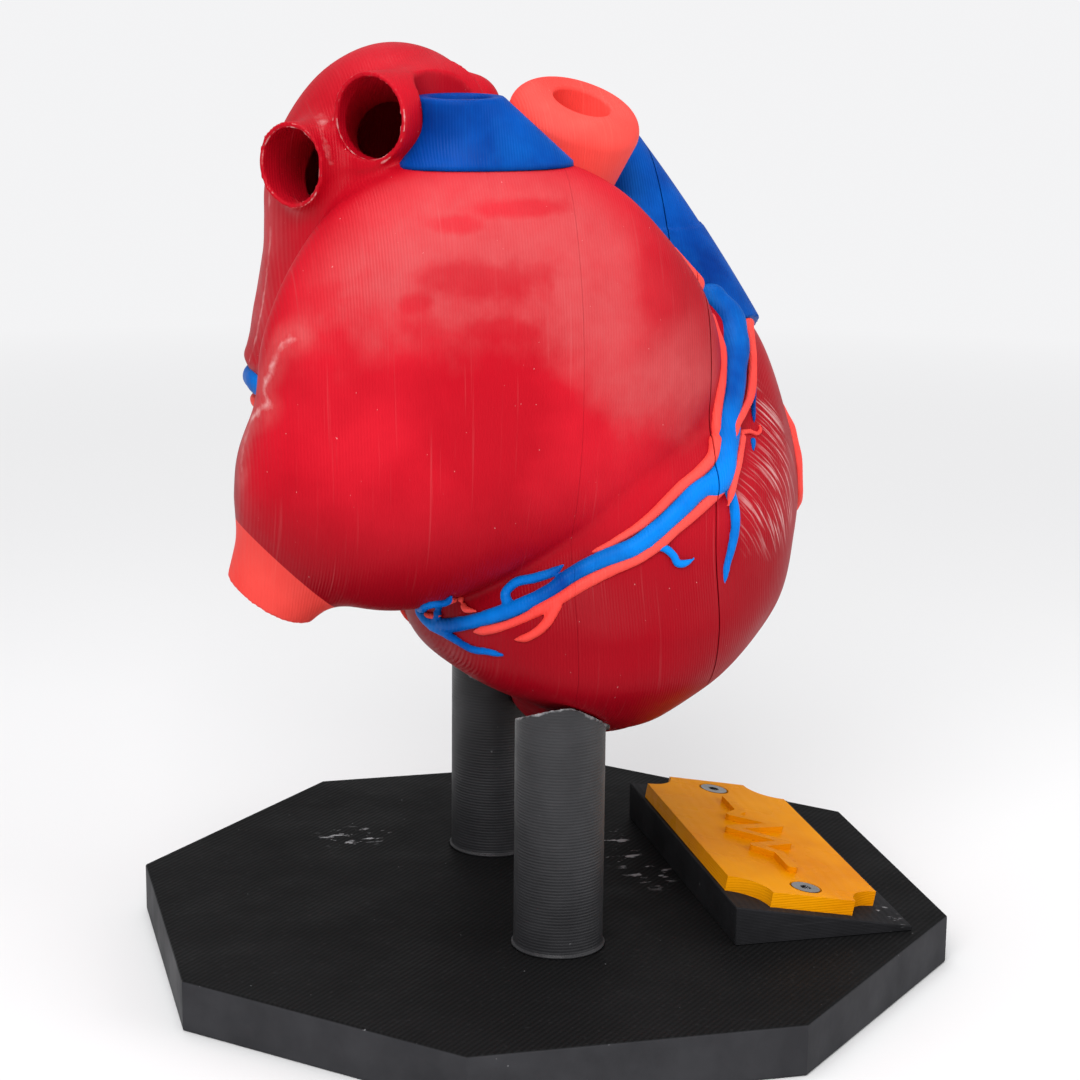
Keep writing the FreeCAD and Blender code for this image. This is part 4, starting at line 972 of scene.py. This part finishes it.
RIGHT_ARTERY_RUNS = (
    (((-16.5, -27.6, 127), (-20.2, -28.2, 122.5), (-25.9, -26.6, 117.5), (-28.5, -25.8, 112),
      (-31.5, -25, 107)), 2.6, 2.2, 0, 0),
    (((-7.5, -39.6, 125.1), (-9.2, -38.1, 124.7), (-10.7, -37.1, 123.4), (-14.8, -35.8, 120.9),
      (-19.7, -34.5, 116.5), (-23.5, -32.9, 113.1), (-27, -30.5, 110.7), (-29.2, -28.8, 109.1),
      (-30.9, -28, 106.9)), 2.2, 1.4, 0.1, 2),
    (((-28.8, -30.8, 108), (-27.5, -32.8, 107.8), (-26.4, -34.7, 107.1), (-25.1, -35.9, 107.6),
      (-24.2, -35.1, 109.7)), 1, 0.8, 0.5, 0.1),
    (((-29.5, -30.6, 107), (-31.9, -29.1, 103.4), (-33.4, -27.4, 100.3), (-34.3, -26.2, 97.3),
      (-34.7, -25.5, 95.6)), 1.6, 1.6, 0.6, 1.2),
    (((-32, -25, 107.3), (-33, -24.1, 105), (-35.2, -21, 102.4), (-36, -17.6, 100.3), (-36.4, -14.9, 98.1),
      (-36.5, -12.3, 95.7), (-36.5, -8.7, 92.8), (-36.3, -5.6, 90.9), (-35.9, -2.8, 89.2),
      (-35.2, 0.2, 87.9)), 2.8, 1.2, 0, 0),
    (((-34.9, -24.5, 98.8), (-36.1, -19.8, 95.4), (-36.8, -15.9, 92.6), (-37.4, -12.7, 89.9),
      (-37.7, -8.8, 87.4), (-37.4, -3.7, 85.3), (-36.8, 1.2, 82.8), (-35.9, 6.1, 79.6), (-33.8, 11.4, 76.1),
      (-30.6, 15.8, 73.6), (-26.3, 19.4, 71.9)), 2.6, 1.8, 0, 0),
    (((-37.4, -3.7, 85.3), (-36.8, 1.2, 82.8), (-35.9, 6.1, 79.6), (-33.8, 11.4, 76.1)), 2.4, 2.4, 0, 0),
    (((-36.3, 6.2, 78.7), (-36.5, 8.2, 75.4), (-35.2, 11.1, 72.9), (-33.4, 13.5, 71.9)), 2.2, 1.4, 0, 0),
    (((-27, 23.9, 78.6), (-25, 23.7, 77.2), (-24.5, 20.7, 75.8), (-27, 18.3, 75.8)), 1.4, 1.2, 0.1, 0.1),
    (((-11, 26.3, 71.6), (-15, 24.8, 72.2), (-19, 23.6, 73.2)), 1.4, 1.2, 0.3, 0.3),
)
# The right artery's root, which shows between the atrium and the trunk: a loose run of route and width.
RIGHT_ARTERY_ROOT = ((((-24, -17.3, 140.3), (-21, -20.5, 137.4), (-18.4, -24.2, 133.9)), 4.2),)


def on_front(route):
    """A route seen from the front, given as (across, up), started in front of the heart."""
    return [(across, -46, up) for across, up in route]


FRONT_ARTERY_RUNS = (
    (on_front(((18, 120), (16, 115.5), (14, 111.5), (11, 108), (4, 104.5), (-4, 101), (-9, 96.5), (-9, 92),
               (-4, 88), (3, 84.5), (8, 79), (12, 69), (14, 61))), 2.9, 2, 0, 0),
    (on_front(((18, 120), (26, 114), (31, 103), (34, 92))), 2.4, 1.4, 0, 0),
    (on_front(((11, 72), (19, 66), (25, 62))), 2.2, 1.4, 0, 0),
)
FRONT_VEIN_RUNS = (
    (on_front(((21, 114), (16, 110), (13, 106), (7, 102), (1, 98), (-2, 94), (2, 90), (9, 86.5),
               (14, 80))), 3.2, 1.8, 0, 0),
)
BACK_SINUS_RUNS = (
    (((33, 40, 104), (22, 49, 110), (11, 53.5, 114.3), (3, 54.3, 114.9), (-4, 53.5, 114),
      (-11, 50, 110.5)), 5.4, 5, -0.5, -0.3),
    (((16, 51, 111), (15, 48.5, 103), (13.5, 42, 93), (13, 36, 88.5), (13, 29, 85), (12.5, 26.5, 79),
      (12, 25.5, 73), (11, 23, 66)), 2.8, 1.6, 0, 0),
)
BACK_ARTERY_RUNS = (
    (((33, 38, 98), (22, 47.5, 105.5), (11, 52.5, 110), (4, 53.5, 110.8), (-3, 52.5, 110),
      (-10, 48.5, 106)), 2.8, 3, 0.2, 0.8),
    (((6, 52, 110), (5, 48, 101), (4.5, 41.5, 92.5), (4, 35, 87.5), (4, 29, 85), (4, 27.5, 79),
      (4.5, 27, 73), (4, 24, 66)), 2.4, 1.4, 0, 0),
)
# Each vessel: name, the CAD nodes of its parts, the slabs that they ride with, its runs and its finish.
VESSELS = (
    ("cardiac_vein", "cardiac_vein_{}", SLAB_BOXES, (RIGHT_VEIN_RUNS,), VEIN_BLUE),
    ("right_artery", "right_coronary_artery_{}", SLAB_BOXES, (RIGHT_ARTERY_RUNS, RIGHT_ARTERY_ROOT), CORAL),
    ("anterior_artery", "anterior_artery", ("front",), (FRONT_ARTERY_RUNS,), CORAL),
    ("anterior_vein", "anterior_vein", ("front",), (FRONT_VEIN_RUNS,), VEIN_BLUE),
    ("coronary_sinus", "coronary_sinus", ("rear",), (BACK_SINUS_RUNS,), VEIN_BLUE),
    ("posterior_artery", "posterior_artery", ("rear",), (BACK_ARTERY_RUNS,), CORAL),
)
for name, node, slab_names, runs, finish in VESSELS:
    whole = vessel_mesh(*runs)
    for slab_name in slab_names:
        made = whole.copy()
        for plane in SLAB_PLANES[slab_name]:
            cut(made, *plane)
        drop_crumbs(made)
        piece(f"{name}_tube_{slab_name}", made, f"heart_{slab_name}", node.format(slab_name), finish)

# ------------ the stand
for name, spot in POST_SPOTS.items():
    reach = POST_RADIUS + POST_MARGIN
    low = (spot[0] - reach, spot[1] - reach, POST_FOOT - POST_MARGIN)
    high = (spot[0] + reach, spot[1] + reach, POST_TOP + POST_MARGIN)
    made = mesh_from(*surface(lambda place: post(place, spot), low, high, POST_STEP))
    piece(f"{name}_print", made, "stand", name, POST_BLACK)


def bevelled(node_name, width):
    """A copy of a CAD piece, in millimetres, with its sharp outer edges rounded."""
    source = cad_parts[node_name]
    made = bmesh.new()
    made.from_mesh(source.data)
    made.transform(source.matrix_world)
    bmesh.ops.scale(made, vec=(1 / MM, 1 / MM, 1 / MM), verts=made.verts)
    bmesh.ops.remove_doubles(made, verts=made.verts, dist=0.001)
    bmesh.ops.dissolve_limit(made, angle_limit=math.radians(1), verts=made.verts, edges=made.edges)
    sharp = [
        edge for edge in made.edges
        if len(edge.link_faces) == 2 and edge.calc_face_angle_signed() > math.radians(50)
        and edge.calc_length() > 2 * width
    ]
    bmesh.ops.bevel(
        made, geom=sharp, offset=width, segments=3, profile=0.5, affect="EDGES", clamp_overlap=True
    )
    for face in made.faces:
        face.smooth = False
    return made


piece("base_print", bevelled("base_plate", 0.5), "stand", "base_plate", BASE_BLACK)
piece("wedge_print", bevelled("nameplate_wedge", 0.3), "stand", "nameplate_wedge", WEDGE_BLACK)
piece("nameplate_print", bevelled("nameplate", 0.4), "stand", "nameplate", YELLOW)

# ------------ CAD nodes that keep their shape
for metal_material, names in (
    (STEEL, ("post_screws", "nameplate_screws")),
    (NICKEL, ("front_magnets", "middle_front_magnets", "middle_rear_magnets", "rear_magnets")),
    (PIN_STEEL, ("front_pins", "rear_pins")),
):
    for name in names:
        for material_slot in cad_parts[name].material_slots:
            material_slot.material = metal_material

# ------------ room, light and camera
FLOOR_REACH = 6.0
# The floor fades to the backdrop between these distances from the middle.
FLOOR_FADE = (200, 750)
# The photograph's camera, fitted to the base's corners: its place, its turn and its lens.
CAMERA_PLACE = (-510.631, 127.547, 212.497)
CAMERA_RIGHT = (-0.23956191, -0.97083625, 0.00933073)
CAMERA_UP = (0.235889, -0.04887959, 0.97054993)
CAMERA_LENS = 93.12


def make_floor():
    nodes = Nodes("pale_floor")
    shade = nodes.mix(nodes.noise(3, detail=2), (0.74, 0.74, 0.75), (0.8, 0.8, 0.8))
    nodes.fill(nodes.shader, {"Base Color": shade, "Roughness": 0.7})
    glow = nodes.add("ShaderNodeEmission", {"Color": BACKDROP, "Strength": 1.0}).outputs[0]
    far = nodes.ramp(nodes.vector("LENGTH", nodes.place), *FLOOR_FADE)
    rays = nodes.add("ShaderNodeLightPath", {}).outputs
    seen = nodes.most(*[rays[f"Is {kind} Ray"] for kind in ("Camera", "Glossy", "Transmission")])
    values = {0: nodes.product(far, seen), 1: nodes.shader.outputs[0], 2: glow}
    mixed = nodes.add("ShaderNodeMixShader", values).outputs[0]
    nodes.fill(nodes.tree.nodes["Material Output"], {"Surface": mixed})
    mesh = bpy.data.meshes.new("floor")
    corners = [(x * FLOOR_REACH, y * FLOOR_REACH, 0) for x, y in ((-1, -1), (1, -1), (1, 1), (-1, 1))]
    mesh.from_pydata(corners, [], [(0, 1, 2, 3)])
    mesh.materials.append(nodes.material)
    show("floor", mesh)


def make_world():
    """A pale world that lights softly and shows nearly white behind the object."""
    world = bpy.data.worlds.new("studio")
    bpy.context.scene.world = world
    world.use_nodes = True
    tree = world.node_tree
    seen = tree.nodes["Background"]
    seen.inputs["Color"].default_value = (*BACKDROP, 1)
    path = tree.nodes.new("ShaderNodeLightPath")
    strength = tree.nodes.new("ShaderNodeMapRange")
    strength.inputs["To Min"].default_value = 0.42
    tree.links.new(path.outputs["Is Camera Ray"], strength.inputs["Value"])
    tree.links.new(strength.outputs[0], seen.inputs["Strength"])


def softbox(name, place, aim, size, power):
    light = bpy.data.lights.new(name, "AREA")
    light.shape = "RECTANGLE"
    light.size, light.size_y = size
    light.energy = power
    lamp = show(name, light)
    lamp.location = place
    lamp.rotation_euler = (Vector(aim) - Vector(place)).to_track_quat("-Z", "Y").to_euler()


def make_camera():
    camera = bpy.data.cameras.new("camera")
    camera.lens = CAMERA_LENS
    camera.sensor_width = 36
    camera.clip_start = 0.05
    camera.clip_end = 30
    holder = show("camera", camera)
    right, up = Vector(CAMERA_RIGHT), Vector(CAMERA_UP)
    turn = Matrix((right, up, right.cross(up))).transposed().to_4x4()
    holder.matrix_world = Matrix.Translation(Vector(CAMERA_PLACE) * MM) @ turn
    bpy.context.scene.camera = holder


make_floor()
make_world()
# Lamps: place, aim and size in metres, and power.
softbox("key", (-0.75, 0.35, 0.75), (0, 0, 0.1), (0.7, 0.7), 9.0)
softbox("fill", (-0.5, -0.9, 0.45), (0, 0, 0.08), (0.8, 0.8), 4.5)
softbox("top", (0.1, 0.1, 1.1), (0, 0, 0.1), (0.9, 0.9), 7.0)
make_camera()
bpy.context.scene.view_settings.view_transform = "Standard"
